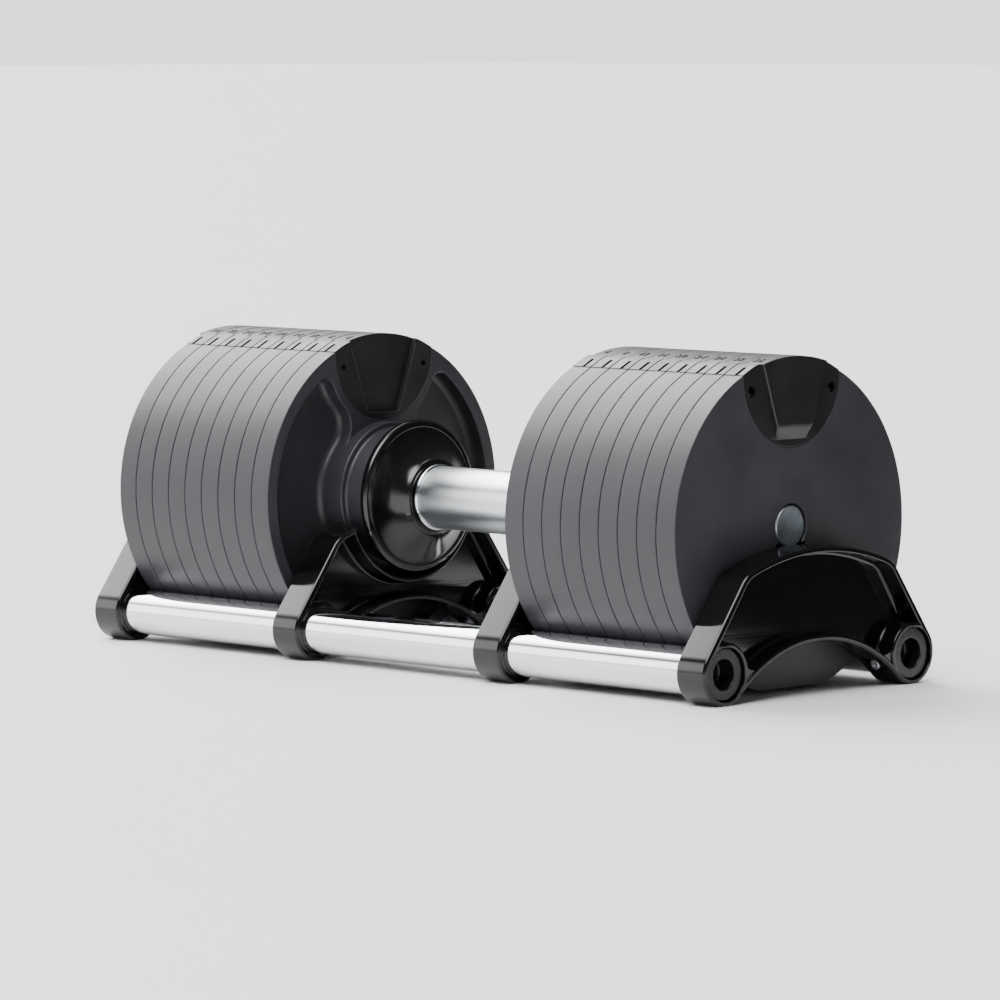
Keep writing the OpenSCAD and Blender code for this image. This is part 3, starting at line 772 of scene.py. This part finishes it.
def keystone_mesh(p, top_r):
    """One keystone with its wedge, its recess for the next wedge, screw sinks and end grooves."""
    edge = 0.5 * MM
    body = Skin()
    side = edge_steps(edge)
    levels = side + [(d, PLATE_T - x) for d, x in reversed(side)]
    rings = [body.ring(key_outline(p, d, top_r), x) for d, x in levels]
    body.walls(rings)
    body.cap(rings[0])
    body.cap(rings[-1])

    wedge = Skin()
    round_edge = 0.8 * MM
    levels = [(-1 * MM, 0.0), (0.0, 0.0)]
    levels += [(WEDGE_D - h, d) for d, h in reversed(edge_steps(round_edge))]
    rings = [wedge.ring(wedge_outline(p, max(0, h), d, top_r), PLATE_T + h) for h, d in levels]
    wedge.walls(rings)
    wedge.cap(rings[0])
    wedge.cap(rings[-1])

    cuts = Skin()
    lean = (p.wedge_top - p.wedge_foot) / p.wedge_h
    gap, over, foot = 0.4 * MM, 6 * MM, PLATE_R - p.wedge_h
    low, high = p.wedge_foot + gap, p.wedge_top + gap + over * lean
    recess = [(-low, foot - gap), (low, foot - gap), (high, PLATE_R + over), (-high, PLATE_R + over)]
    cuts.block(recess, -MM, WEDGE_D)
    web_x = (PLATE_T - p.web) / 2
    cuts.block(web_outline(p, 1 * MM), web_x - 0.1 * MM, web_x + p.web + 0.1 * MM)

    sinks = Skin()
    for y, z in screw_places(p):
        sinks.block(circle(p.screw_head + 0.35 * MM, (y, z), 32), PLATE_T - 1.8 * MM, PLATE_T + MM)
        sinks.block(circle(1.7 * MM, (y, z), 24), -MM, 1.2 * MM)
    # A short dark groove at each end of the cap, in line with the number
    groove = Skin()
    half_w, mid = 1.1 * MM, PLATE_T / 2 + 1.5 * MM
    for s in (-1, 1):
        far, near, over, deep = 26, 19.5, 2 * MM, -1.3 * MM
        corners = ((over, far), (deep, far), (deep, near), (over, near))
        ends = [polar((0, 0), top_r + d, 90 - s * a) for d, a in corners]
        groove.block(ends, mid - half_w, mid + half_w)
    return carved(body.mesh("keystone"), [
        ("UNION", wedge.mesh("wedge")),
        ("DIFFERENCE", cuts.mesh("recess")),
        ("DIFFERENCE", sinks.mesh("sinks")),
        ("DIFFERENCE", groove.mesh("grooves")),
    ])


def screw_places(p):
    key_z, a = PLATE_R - p.pocket_drop, radians(13)
    return [(s * p.screw_at * cos(a), key_z - p.screw_at * sin(a)) for s in (-1, 1)]


def screw_mesh(p):
    """A low domed screw head with a cross recess, and its shank."""
    head, base = p.screw_head, PLATE_T - 1.8 * MM
    shape = Skin()
    shape.lathe(rounded([
        (1.2 * MM, 0, 0), (1.2 * MM, 1.5 * MM, 0.2 * MM), (base, 1.5 * MM, 0), (base, head, 0.2 * MM),
        (base + 0.9 * MM, head, 0.3 * MM), (base + 1.4 * MM, head * 0.55, 0.8 * MM), (base + 1.4 * MM, 0, 0),
    ], 3), steps=32)
    cross = Skin()
    long, thin, floor = 1.7 * MM, 0.42 * MM, base + 0.6 * MM
    cross.block([(-long, -thin), (long, -thin), (long, thin), (-long, thin)], floor, base + 3 * MM)
    other = Skin()
    other.block([(-thin, -long), (thin, -long), (thin, long), (-thin, long)], floor, base + 3 * MM)
    return carved(shape.mesh("screw"), [
        ("DIFFERENCE", cross.mesh("slot")), ("DIFFERENCE", other.mesh("slot")),
    ])


def bead_mesh(p):
    """A thin bead round the recess of the keystone that faces the handle."""
    line = bpy.data.curves.new("bead", "CURVE")
    line.dimensions, line.bevel_depth, line.bevel_resolution = "3D", p.bead, 2
    rise, out = p.wedge_h - 5 * MM, 0.8 * MM
    foot = PLATE_R - p.wedge_h - out
    side = p.wedge_foot + out
    top = side + rise * (p.wedge_top - p.wedge_foot) / p.wedge_h
    right = [(side - 1.4 * MM, foot), (side, foot + 1.4 * MM), (top, foot + rise)]
    corners = [(-y, z) for y, z in reversed(right)] + right
    path = line.splines.new("POLY")
    path.points.add(len(corners) - 1)
    for point, (y, z) in zip(path.points, corners):
        point.co = (0, y, z, 1)
    return curve_mesh(line)


def number_mesh(text, size, height):
    """Raised digits lying flat, centred on 0, 0, reading along the handle."""
    letters = bpy.data.curves.new("digits", "FONT")
    letters.body, letters.size, letters.align_x, letters.align_y = text, size, "CENTER", "CENTER"
    letters.extrude, letters.bevel_depth, letters.resolution_u = height, 0.0, 3
    return curve_mesh(letters)


def curve_mesh(curve):
    """A curve or text turned into a mesh."""
    holder = bpy.data.objects.new(curve.name, curve)
    bpy.context.scene.collection.objects.link(holder)
    bpy.context.view_layer.update()
    made = bpy.data.meshes.new_from_object(holder.evaluated_get(bpy.context.evaluated_depsgraph_get()))
    bpy.data.objects.remove(holder)
    return made


# ---- Hub plates ----


def dish_outline(p, h, inset):
    """The C-shaped dish round the hub, with rounded corners at the rib. inset shrinks it."""
    rim_r, flat = PLATE_R - h.rim, PLATE_FLAT - h.rim + 2 * MM
    key, rib_r = (0, PLATE_R - p.pocket_drop), p.pocket + h.rib

    def corner(from_axis, from_key):
        """Centre of a rounding at given distances from the axis and from the keystone's centre."""
        z = (key[1] ** 2 + from_axis ** 2 - from_key ** 2) / (2 * key[1])
        return (sqrt(from_axis ** 2 - z ** 2), z)

    upper = corner(rim_r - h.rib_fillet, rib_r + h.rib_fillet)
    lower = corner(h.hub + h.hub_fillet, rib_r + h.hub_fillet)
    rim, flat_z = rim_r - inset, -flat + inset
    start = degrees(asin(flat_z / rim))
    right = [(0, flat_z), (rim * cos(radians(start)) / 2, flat_z)]
    right += arc((0, 0), rim, start, angle_of(upper), 60)
    to_key = angle_of(key, upper)
    right += arc(upper, h.rib_fillet - inset, angle_of(upper), to_key, 12)[1:]
    right += arc(key, rib_r + inset, angle_of(upper, key), angle_of(lower, key), 8)[1:]
    to_axis = angle_of((0, 0), lower) % 360
    right += arc(lower, h.hub_fillet - inset, angle_of(key, lower), to_axis, 14)[1:]
    right += arc((0, 0), h.hub + inset, angle_of(lower), -90, 40)[1:]
    # The last point is on the middle line as well, so the left half starts after it
    return right + [(-y, z) for y, z in reversed(right[1:-1])]


def hub_plate_mesh(p, h):
    skin = Skin()
    inner, outer = add_rim(skin, p, plate_outline)
    top = [(-d, x) for d, x in edge_steps(0.8 * MM)]
    foot = [(d, h.dish - x) for d, x in fillet_steps(h.floor_fillet)]
    rings = [skin.ring(dish_outline(p, h, d), x) for d, x in top + foot]
    skin.walls(rings)
    skin.cap(inner, rings[0])
    skin.cap(rings[-1])
    skin.cap(outer)
    web_x = (PLATE_T - p.web) / 2
    skin.block(web_outline(p, 0.05 * MM), web_x, web_x + p.web)
    front, step = HUB_X0 - INNER_X, -h.step
    bore, hub = GRIP_BORE - 2 * MM, h.hub + 0.04 * MM
    skin.lathe(rounded([
        (front, bore, 0), (front, h.nose, 1.0 * MM), (step, h.nose, 1.6 * MM),
        (step, hub, 1.0 * MM), (2.0 * MM, hub, 0), (2.0 * MM, bore, 0),
    ]), steps=128)
    return skin.mesh("hub_plate")


# ---- Handle ----


def flange_mesh():
    """A bell: a rounded lip, a gently hollow cone and a nose round the grip."""
    skin = Skin()
    nose, bore = COLLAR_R + 2.6 * MM, GRIP_BORE + 1.6 * MM
    lip_x = FLANGE_X1 - 5 * MM
    outline = [(FLANGE_X0, bore, 0), (FLANGE_X0, nose - 0.2 * MM, 1.9 * MM)]
    start, pull, end = (
        Vector((FLANGE_X0 + 2.2 * MM, nose + 0.4 * MM)), Vector((lip_x - 3.4 * MM, nose + 5.6 * MM)),
        Vector((lip_x + 0.3 * MM, FLANGE_R - 4.4 * MM)),
    )
    for k in range(15):
        t = k / 14
        x, r = start * (1 - t) ** 2 + pull * 2 * t * (1 - t) + end * t ** 2
        outline.append((x, r, 0))
    outline += [
        (lip_x + 0.1 * MM, FLANGE_R - 3.7 * MM, 0.5 * MM), (lip_x, FLANGE_R, 2.3 * MM),
        (FLANGE_X1, FLANGE_R, 1.0 * MM), (FLANGE_X1, bore, 0),
    ]
    skin.lathe(rounded(outline, 7), steps=144)
    return skin.mesh("flange")


def grip_mesh():
    skin = Skin()
    edge = 0.25 * MM
    skin.lathe(rounded([
        (-GRIP_X, GRIP_BORE, 0), (-GRIP_X, GRIP_R, edge), (GRIP_X, GRIP_R, edge), (GRIP_X, GRIP_BORE, 0),
    ], 3), steps=128)
    return skin.mesh("grip")


def collar_mesh():
    skin = Skin()
    edge = 1.3 * MM
    skin.lathe(rounded([
        (GRIP_X, GRIP_BORE, 0), (GRIP_X, COLLAR_R, edge),
        (COLLAR_X1, COLLAR_R, edge), (COLLAR_X1, GRIP_BORE, 0),
    ]), steps=128)
    return skin.mesh("collar")


# ---- Cradle ----


def arch_frame(c):
    """Centres and angles that every arch outline shares."""
    crown = (0, -CROWN_DROP - c.crown)
    start = 90 - degrees(c.shoulder_angle)
    shoulder = polar(crown, c.crown - c.shoulder, start)
    reach = hypot(BOSS[0] - shoulder[0], BOSS[1] - shoulder[1])
    side = angle_of(BOSS, shoulder) + 90 - degrees(asin((BOSS_R - c.shoulder) / reach))
    rise = -BOSS[1] - c.under
    under_r = (BOSS[0] ** 2 + rise ** 2 - BOSS_R ** 2) / (2 * (rise + BOSS_R))
    under = (0, -c.under - under_r)
    return crown, start, shoulder, side, under, under_r


def arch_top(c, inset, notch):
    """The middle of an arch's top edge down to its shoulder, round the flange's notch if it has one."""
    crown, start, shoulder, side, _, _ = arch_frame(c)
    radius = c.crown - inset
    if notch:
        hollow, drop = notch + inset, -crown[1]
        off = degrees(acos((drop ** 2 + radius ** 2 - hollow ** 2) / (2 * drop * radius)))
        horn = polar(crown, radius, 90 - off)
        points = arc((0, 0), hollow, -90, angle_of(horn), 40)
        points += arc(crown, radius, 90 - off, start, 6)[1:]
    else:
        points = arc(crown, radius, 90, start, 46)
    return points + arc(shoulder, c.shoulder - inset, start, side, 12)[1:]


def arch_outline(c, inset, notch):
    """The outer edge of an arch, round its bosses and flat on the floor."""
    _, _, _, side, under, under_r = arch_frame(c)
    right = arch_top(c, inset, notch)
    low = angle_of(under, BOSS)
    right += arc(BOSS, BOSS_R - inset, side, low, 48)
    right += arc(under, under_r + inset, low + 180, 90, 30)[1:]
    return [(y, max(z, FLOOR)) for y, z in loop_of(right)]


def recess_outline(c, inset, notch):
    """The hollow inside an arch's rim, which stops at the bosses."""
    _, _, _, side, under, under_r = arch_frame(c)
    ring = BOSS_R + inset - c.rim
    right = arch_top(c, inset, notch)
    first = side + degrees(acos((BOSS_R - inset) / ring))
    reach = under_r + BOSS_R
    hollow = under_r + inset
    off = degrees(acos((reach ** 2 + ring ** 2 - hollow ** 2) / (2 * reach * ring)))
    last = angle_of(under, BOSS) % 360 - off
    right += arc(BOSS, ring, first, last, 48)
    right += arc(under, hollow, angle_of(polar(BOSS, ring, last), under), 90, 30)[1:]
    return loop_of(right)


def loop_of(right):
    """Closes a right half whose two ends are on the middle line."""
    return right + [(-y, z) for y, z in reversed(right[1:-1])]


def arch_mesh(c, x0, x1, notch, sunk):
    """An arch with its deep recess towards x1. sunk gives it the sinks for the tube ends."""
    skin = Skin()
    edge = edge_steps(c.edge)
    levels = [(d, x1 - x) for d, x in edge] + [(d, x0 + x) for d, x in reversed(edge)]
    outside = [skin.ring(arch_outline(c, d, notch), x) for d, x in levels]
    skin.walls(outside)
    faces = []
    for face_x, floor_x, towards in ((x1, x1 - c.recess, -1), (x0, x0 + c.back, 1)):
        fillet = min(c.fillet, 0.6 * abs(floor_x - face_x))
        levels = [(c.rim - d, face_x + towards * x) for d, x in edge_steps(0.8 * MM)]
        levels += [(c.rim + d, floor_x - towards * x) for d, x in fillet_steps(fillet)]
        rings = [skin.ring(recess_outline(c, d, notch), x) for d, x in levels]
        skin.walls(rings)
        skin.cap(rings[-1])
        faces.append(rings[0])
    bore, lip = TUBE_R + 0.08 * MM, 0.4 * MM
    bores = []
    for s in (-1, 1):
        at = (s * BOSS[0], BOSS[1])
        mouth = c.sink if sunk else bore
        levels = [(mouth + d, x1 - x) for d, x in edge_steps(lip, 3)]
        if sunk:
            levels += [(mouth, TUBE_X), (bore, TUBE_X)]
        levels += [(bore + d, x0 + x) for d, x in reversed(edge_steps(lip, 3))]
        rings = [skin.ring(circle(r, at), x) for r, x in levels]
        skin.walls(rings)
        bores.append((rings[0], rings[-1]))
    skin.cap(outside[0], faces[0], bores[0][0], bores[1][0])
    skin.cap(outside[-1], faces[1], bores[0][1], bores[1][1])
    pads, windows = Skin(), Skin()
    mid = (x0 + x1) / 2
    limit = Skin()
    limit.block(arch_outline(c, c.rim / 2, notch), x0 + 0.5 * MM, x1 - 0.5 * MM)
    for s in (-1, 1):
        half = (x1 - x0) / 2 - 1 * MM
        pad = screw_window(c, s, TUBE_R + 2 * MM, BOSS_R + 6 * MM, c.set_screw + 3 * MM)
        pads.block(pad, mid - half, mid + half)
        half = c.set_screw + 1.5 * MM
        window = screw_window(c, s, BOSS_R + 1.5 * MM, BOSS_R + 21 * MM, c.set_screw + 1.2 * MM)
        windows.block(window, mid - half, mid + half)
    inside = carved(pads.mesh("pads"), [("INTERSECT", limit.mesh("limit"))])
    return carved(skin.mesh("arch"), [("UNION", inside), ("DIFFERENCE", windows.mesh("windows"))])


def screw_window(c, s, near, far, half):
    """A rectangle along a set screw, from near to far of the tube's centre."""
    along = 180 + degrees(c.set_slope)
    corners = []
    for reach, off in ((near, -half), (far, -half), (far, half), (near, half)):
        y, z = polar(polar(BOSS, reach, along), off, along + 90)
        corners.append((s * y, z))
    return corners


def set_screw_mesh(c):
    """A set screw along +X with a six-sided socket in its end."""
    skin = Skin()
    r, start, end = c.set_screw, TUBE_R, BOSS_R + 4 * MM
    rings = [skin.ring(circle(r - d, steps=36), end - x) for d, x in edge_steps(0.5 * MM, 3)]
    rings.append(skin.ring(circle(r, steps=36), start))
    skin.walls(rings)
    skin.cap(rings[-1])
    hexagon = [polar((0, 0), r * 0.6, 60 * k) for k in range(6)]
    socket = [skin.ring(hexagon, end), skin.ring(hexagon, end - 2.5 * MM)]
    skin.walls(socket)
    skin.cap(rings[0], socket[0])
    skin.cap(socket[1])
    return skin.mesh("set_screw")


def tube_mesh(c):
    skin = Skin()
    bore = TUBE_R - c.wall
    skin.lathe(rounded([
        (-TUBE_X, bore, 0.4 * MM), (-TUBE_X, TUBE_R, 0.6 * MM),
        (TUBE_X, TUBE_R, 0.6 * MM), (TUBE_X, bore, 0.4 * MM),
    ], 3), steps=128)
    return skin.mesh("tube")


def plug_mesh(c):
    """An end plug: a rounded head with a hollow middle, and its skirt in the tube."""
    skin = Skin()
    skirt = TUBE_R - c.wall
    skin.lathe(rounded([
        (TUBE_X - 12 * MM, 0, 0), (TUBE_X - 12 * MM, skirt, 0.6 * MM), (TUBE_X, skirt, 0),
        (TUBE_X, PLUG_R, 0.2 * MM), (PLUG_X1, PLUG_R, 0.7 * MM), (PLUG_X1, c.hollow, 0.7 * MM),
        (TUBE_X - 9 * MM, c.hollow, 1.2 * MM), (TUBE_X - 9 * MM, 0, 0),
    ]), steps=96)
    return skin.mesh("plug")


# ---- Operators ----


class DUMBBELL_OT_plates(bpy.types.Operator):
    """Builds the eight plates on each side"""

    bl_idname = "dumbbell.plates"
    bl_label = "Build plates"

    def execute(self, context):
        scene = context.scene
        shape = plate_mesh(scene.dumbbell_plates)
        coat = powder_coat(scene.dumbbell_colours)
        for side, flipped in SIDES.items():
            for n in range(1, PLATES + 1):
                placed = joined("plate", [(shape, on_axis(INNER_X + n * PITCH, flipped))])
                node = f"plate_{side}_{n}"
                add_piece(f"{node}_coated", placed, coat, "dumbbell", [node])
        return {"FINISHED"}


class DUMBBELL_OT_hub_plates(bpy.types.Operator):
    """Builds the two dished plates that are fixed to the handle"""

    bl_idname = "dumbbell.hub_plates"
    bl_label = "Build hub plates"

    def execute(self, context):
        scene = context.scene
        shape = hub_plate_mesh(scene.dumbbell_plates, scene.dumbbell_hub)
        coat = powder_coat(scene.dumbbell_colours)
        for side, flipped in SIDES.items():
            placed = joined("hub_plate", [(shape, on_axis(INNER_X, flipped))])
            node = f"hub_plate_{side}"
            add_piece(f"{node}_coated", placed, coat, "dumbbell", [node])
        return {"FINISHED"}


class DUMBBELL_OT_keystones(bpy.types.Operator):
    """Builds the keystones with their raised numbers, and the screws that hold them"""

    bl_idname = "dumbbell.keystones"
    bl_label = "Build keystones"

    def execute(self, context):
        scene = context.scene
        sizes = scene.dumbbell_plates
        raised = 0.35 * MM
        nylon = moulded_nylon(scene.dumbbell_colours)
        shape = keystone_mesh(sizes, KEY_TOP)
        screw = screw_mesh(sizes)
        oxide = metal(*NODE_FINISHES["hub_screws"])
        screws = []
        for side, flipped in SIDES.items():
            places = [on_axis(INNER_X + n * PITCH, flipped) for n in range(PLATES + 1)]
            beaded = [(shape, place) for place in places] + [(bead_mesh(sizes), places[0])]
            stones = joined("keystones", beaded)
            add_piece(
                f"keystones_{side}_moulded", stones, nylon, "dumbbell",
                [f"keystone_outer_{side}", f"keystone_inner_{side}"],
            )
            numbers = []
            for n in range(PLATES + 1):
                text = number_mesh(str(sizes.step * (n + 1)), sizes.digit, raised)
                x = (INNER_X + n * PITCH + PLATE_T / 2 + WEDGE_D / 2) * (-1 if flipped else 1)
                for turn in (0, pi):
                    lift = Matrix.Rotation(turn, 4, "Z") @ Matrix.Rotation(sizes.digit_angle, 4, "X")
                    spot = Matrix.Translation((x, 0, AXIS_Z)) @ lift
                    numbers.append((text, spot @ Matrix.Translation((0, 0, KEY_TOP))))
            add_piece(
                f"keystone_numbers_{side}", joined("numbers", numbers), nylon, "dumbbell",
            )
            for place in places:
                screws += [(screw, place @ Matrix.Translation((0, y, z))) for y, z in screw_places(sizes)]
        add_piece(
            "keystone_screws_crossed", joined("screws", screws), oxide, "dumbbell",
            ["keystone_screws"],
        )
        return {"FINISHED"}


class DUMBBELL_OT_flanges(bpy.types.Operator):
    """Builds the bell-shaped flange at each end of the grip"""

    bl_idname = "dumbbell.flanges"
    bl_label = "Build flanges"

    def execute(self, context):
        shape = flange_mesh()
        gloss = gloss_moulding(context.scene.dumbbell_colours)
        for side, flipped in SIDES.items():
            placed = joined("flange", [(shape, on_axis(0, flipped))])
            node = f"flange_{side}"
            add_piece(f"{node}_bell", placed, gloss, "dumbbell", [node])
        return {"FINISHED"}


class DUMBBELL_OT_grip(bpy.types.Operator):
    """Builds the turning grip and its two collars"""

    bl_idname = "dumbbell.grip"
    bl_label = "Build grip"

    def execute(self, context):
        colours = context.scene.dumbbell_colours
        sleeve = joined("grip", [(grip_mesh(), on_axis())])
        add_piece("grip_satin", sleeve, satin_chrome(colours), "grip", ["grip_sleeve"])
        shape = collar_mesh()
        for side, flipped in SIDES.items():
            placed = joined("collar", [(shape, on_axis(0, flipped))])
            node = f"grip_collar_{side}"
            add_piece(f"{node}_bright", placed, bright_chrome(colours), "grip", [node])
        return {"FINISHED"}


class DUMBBELL_OT_arches(bpy.types.Operator):
    """Builds the four arches of the cradle and their set screws"""

    bl_idname = "dumbbell.arches"
    bl_label = "Build arches"

    def execute(self, context):
        scene = context.scene
        c = scene.dumbbell_cradle
        gloss = gloss_enamel(scene.dumbbell_colours)
        outer = arch_mesh(c, ARCH_X0, ARCH_X1, 0, True)
        # The inner arches have their deep recess towards the handle
        turned = arch_mesh(c, -INNER_ARCH_X1, -INNER_ARCH_X0, c.notch, False)
        screw = set_screw_mesh(c)
        screws = []
        for side, flipped in SIDES.items():
            node = f"outer_arch_{side}"
            placed = joined("arch", [(outer, on_axis(0, flipped))])
            add_piece(f"{node}_enamelled", placed, gloss, "cradle", [node])
            node = f"inner_arch_{side}"
            placed = joined("arch", [(turned, on_axis(0, not flipped))])
            add_piece(f"{node}_enamelled", placed, gloss, "cradle", [node])
            for mid in ((ARCH_X0 + ARCH_X1) / 2, (INNER_ARCH_X0 + INNER_ARCH_X1) / 2):
                for s in (-1, 1):
                    place = on_axis() @ Matrix.Translation((-mid if flipped else mid, s * BOSS[0], BOSS[1]))
                    lean = pi / 2 + c.set_slope
                    point = Matrix.Rotation(s * lean, 4, "X") @ Matrix.Rotation(-pi / 2, 4, "Y")
                    screws.append((screw, place @ point))
        zinc = metal("bright_zinc", "#E2E4E8", 0.34)
        add_piece(
            "arch_set_screws_zinc", joined("set_screws", screws), zinc, "cradle",
            ["arch_set_screws"],
        )
        return {"FINISHED"}


class DUMBBELL_OT_tubes(bpy.types.Operator):
    """Builds the two cradle tubes and their end plugs"""

    bl_idname = "dumbbell.tubes"
    bl_label = "Build tubes"

    def execute(self, context):
        scene = context.scene
        c, colours = scene.dumbbell_cradle, scene.dumbbell_colours
        shape, plug = tube_mesh(c), plug_mesh(c)
        plugs = []
        for name, s in (("front", -1), ("rear", 1)):
            place = on_axis() @ Matrix.Translation((0, s * BOSS[0], BOSS[1]))
            node = f"cradle_tube_{name}"
            add_piece(
                f"{node}_bright", joined("tube", [(shape, place)]), bright_chrome(colours), "cradle",
                [node],
            )
            plugs += [(plug, place), (plug, place @ Matrix.Rotation(pi, 4, "Z"))]
        add_piece(
            "tube_end_plugs_moulded", joined("plugs", plugs), moulded_polythene(colours), "cradle",
            ["tube_end_plugs"],
        )
        return {"FINISHED"}


class DUMBBELL_OT_inside(bpy.types.Operator):
    """Gives the rods and the other CAD pieces inside the handle their finishes"""

    bl_idname = "dumbbell.inside"
    bl_label = "Finish the inside"

    def execute(self, context):
        finishes = {name: metal(*spec) for name, spec in NODE_FINISHES.items()}
        zinc = zinc_plate(context.scene.dumbbell_colours)
        finishes.update({"selector_rod_left": zinc, "selector_rod_right": zinc})
        for name, material in finishes.items():
            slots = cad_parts[name].material_slots
            if not slots:
                raise RuntimeError(f"{name} has no material slot")
            for slot in slots:
                slot.material = material
        return {"FINISHED"}


class DUMBBELL_OT_stage(bpy.types.Operator):
    """Builds the floor, the lights and the camera"""

    bl_idname = "dumbbell.stage"
    bl_label = "Build stage"

    def execute(self, context):
        scene = context.scene
        stage = scene.dumbbell_stage
        add_floor(stage)
        add_world(scene)
        low, high = CAD_BOX
        centre = (low + high) / 2
        add_card(centre)
        lens = bpy.data.cameras.new("camera")
        lens.lens, lens.sensor_width = stage.lens, 36.0
        lens.clip_start, lens.clip_end = 0.05, 100.0
        camera = bpy.data.objects.new("camera", lens)
        scene.collection.objects.link(camera)
        aim(camera, centre, stage.azimuth, stage.elevation, stage.distance)
        scene.camera = camera
        return {"FINISHED"}


def aim(thing, centre, azimuth, elevation, distance):
    """Places a light or camera round the object, facing it. Azimuth 0 looks along +Y."""
    back = Vector((sin(azimuth) * cos(elevation), -cos(azimuth) * cos(elevation), sin(elevation)))
    thing.location = centre + back * distance
    thing.rotation_mode = "QUATERNION"
    thing.rotation_quaternion = (-back).to_track_quat("-Z", "Y")


def add_floor(stage):
    """A wide pale floor, slightly mottled."""
    shape = bmesh.new()
    bmesh.ops.create_grid(shape, x_segments=8, y_segments=8, size=40.0)
    mesh = bpy.data.meshes.new("floor")
    shape.to_mesh(mesh)
    shape.free()
    floor = bpy.data.objects.new("floor", mesh)
    bpy.context.scene.collection.objects.link(floor)
    mesh.materials.append(make_finish(
        "pale_painted_board", stage.floor, 0.0, 0.6, grain=2.0, depth=0.02, mottle=400, shade=0.01,
        rough_spread=0.04,
    ))


# The black card: height of its middle, azimuth, distance, and its width and height over a metre
CARD_Z, CARD_AZIMUTH, CARD_DISTANCE, CARD_SHAPE = 0.31, 136, 0.42, (0.95, 0.62, 1.0)


def add_card(centre):
    """A black card beside the object. Only reflections see it, so that gloss black stays black."""
    shape = bmesh.new()
    bmesh.ops.create_grid(shape, x_segments=2, y_segments=2, size=0.5)
    mesh = bpy.data.meshes.new("black_card")
    shape.to_mesh(mesh)
    shape.free()
    card = bpy.data.objects.new("black_card", mesh)
    bpy.context.scene.collection.objects.link(card)
    aim(card, Vector((centre.x, centre.y, CARD_Z)), radians(CARD_AZIMUTH), 0.0, CARD_DISTANCE)
    card.scale = CARD_SHAPE
    card.visible_camera = card.visible_diffuse = card.visible_shadow = False
    mesh.materials.append(make_finish("black_card", "#0C0C0C", 0.0, 0.9, grain=1.5, depth=0.02))


# Soft lights in the room: name, azimuth and elevation, angles at full strength and at none (all in
# degrees), and radiance
ROOM_LIGHTS = [
    ("key", -98, 39, 6, 38, 11.0),
    ("side", -50, 16, 3, 17, 4.0),
    ("top", 14, 62, 8, 32, 10.0),
]


# Grey of the room by the upward part of a direction, and how bright it is
ROOM_GREYS = [(0.0, 1.0), (0.02, 0.95), (0.07, 0.5), (0.20, 0.06), (0.80, 0.08)]
ROOM_STRENGTH = 1.9


def add_world(scene):
    """A pale room with three soft lights, darker above eye level between them."""
    world = bpy.data.worlds.new("room")
    scene.world = world
    world.use_nodes = True
    tree = world.node_tree
    tree.nodes.clear()
    way = add_node(tree, "ShaderNodeTexCoord").outputs["Generated"]
    height = add_node(tree, "ShaderNodeSeparateXYZ", {}, {"Vector": way}).outputs["Z"]
    bands = add_node(tree, "ShaderNodeValToRGB", {}, {"Fac": height})
    ramp = bands.color_ramp
    while len(ramp.elements) < len(ROOM_GREYS):
        ramp.elements.new(1.0)
    for element, (place, grey) in zip(ramp.elements, ROOM_GREYS):
        element.position, element.color = place, (grey, grey, grey * 1.02, 1)
    shine = add_node(
        tree, "ShaderNodeBackground", {"Strength": ROOM_STRENGTH}, {"Color": bands.outputs["Color"]},
    )
    total = shine.outputs["Background"]
    for name, azimuth, elevation, full, none, radiance in ROOM_LIGHTS:
        a, e = radians(azimuth), radians(elevation)
        aimed = add_node(
            tree, "ShaderNodeVectorMath",
            {"operation": "DOT_PRODUCT", 1: (sin(a) * cos(e), -cos(a) * cos(e), sin(e))}, {0: way},
        ).outputs["Value"]
        glow = add_node(
            tree, "ShaderNodeMapRange",
            {
                "interpolation_type": "SMOOTHERSTEP", "From Min": cos(radians(none)),
                "From Max": cos(radians(full)), "To Min": 0.0, "To Max": radiance,
            },
            {"Value": aimed},
        ).outputs["Result"]
        lamp = add_node(
            tree, "ShaderNodeBackground", {"Color": (1.0, 0.995, 0.985, 1)}, {"Strength": glow},
        )
        total = add_node(
            tree, "ShaderNodeAddShader", {}, {0: total, 1: lamp.outputs["Background"]}
        ).outputs["Shader"]
    add_node(tree, "ShaderNodeOutputWorld", {}, {"Surface": total})


OPERATORS = [
    DUMBBELL_OT_plates, DUMBBELL_OT_hub_plates, DUMBBELL_OT_keystones, DUMBBELL_OT_flanges,
    DUMBBELL_OT_grip, DUMBBELL_OT_arches, DUMBBELL_OT_tubes, DUMBBELL_OT_inside, DUMBBELL_OT_stage,
]


class DUMBBELL_PT_panel(bpy.types.Panel):
    """Lists the sizes and the build steps"""

    bl_idname = "DUMBBELL_PT_panel"
    bl_label = "Adjustable dumbbell"
    bl_space_type = "VIEW_3D"
    bl_region_type = "UI"
    bl_category = "Dumbbell"

    def draw(self, context):
        for name in GROUPS:
            group = getattr(context.scene, name)
            box = self.layout.box()
            for key in group.__annotations__:
                box.prop(group, key)
        for operator in OPERATORS:
            self.layout.operator(operator.bl_idname)


def register():
    for cls in [*GROUPS.values(), *OPERATORS, DUMBBELL_PT_panel]:
        bpy.utils.register_class(cls)
    for name, group in GROUPS.items():
        setattr(bpy.types.Scene, name, PointerProperty(type=group))


def unregister():
    for name in GROUPS:
        delattr(bpy.types.Scene, name)
    for cls in reversed([*GROUPS.values(), *OPERATORS, DUMBBELL_PT_panel]):
        bpy.utils.unregister_class(cls)


def main():
    register()
    for operator in OPERATORS:
        group, name = operator.bl_idname.split(".")
        getattr(getattr(bpy.ops, group), name)()


if __name__ == "__main__":
    main()
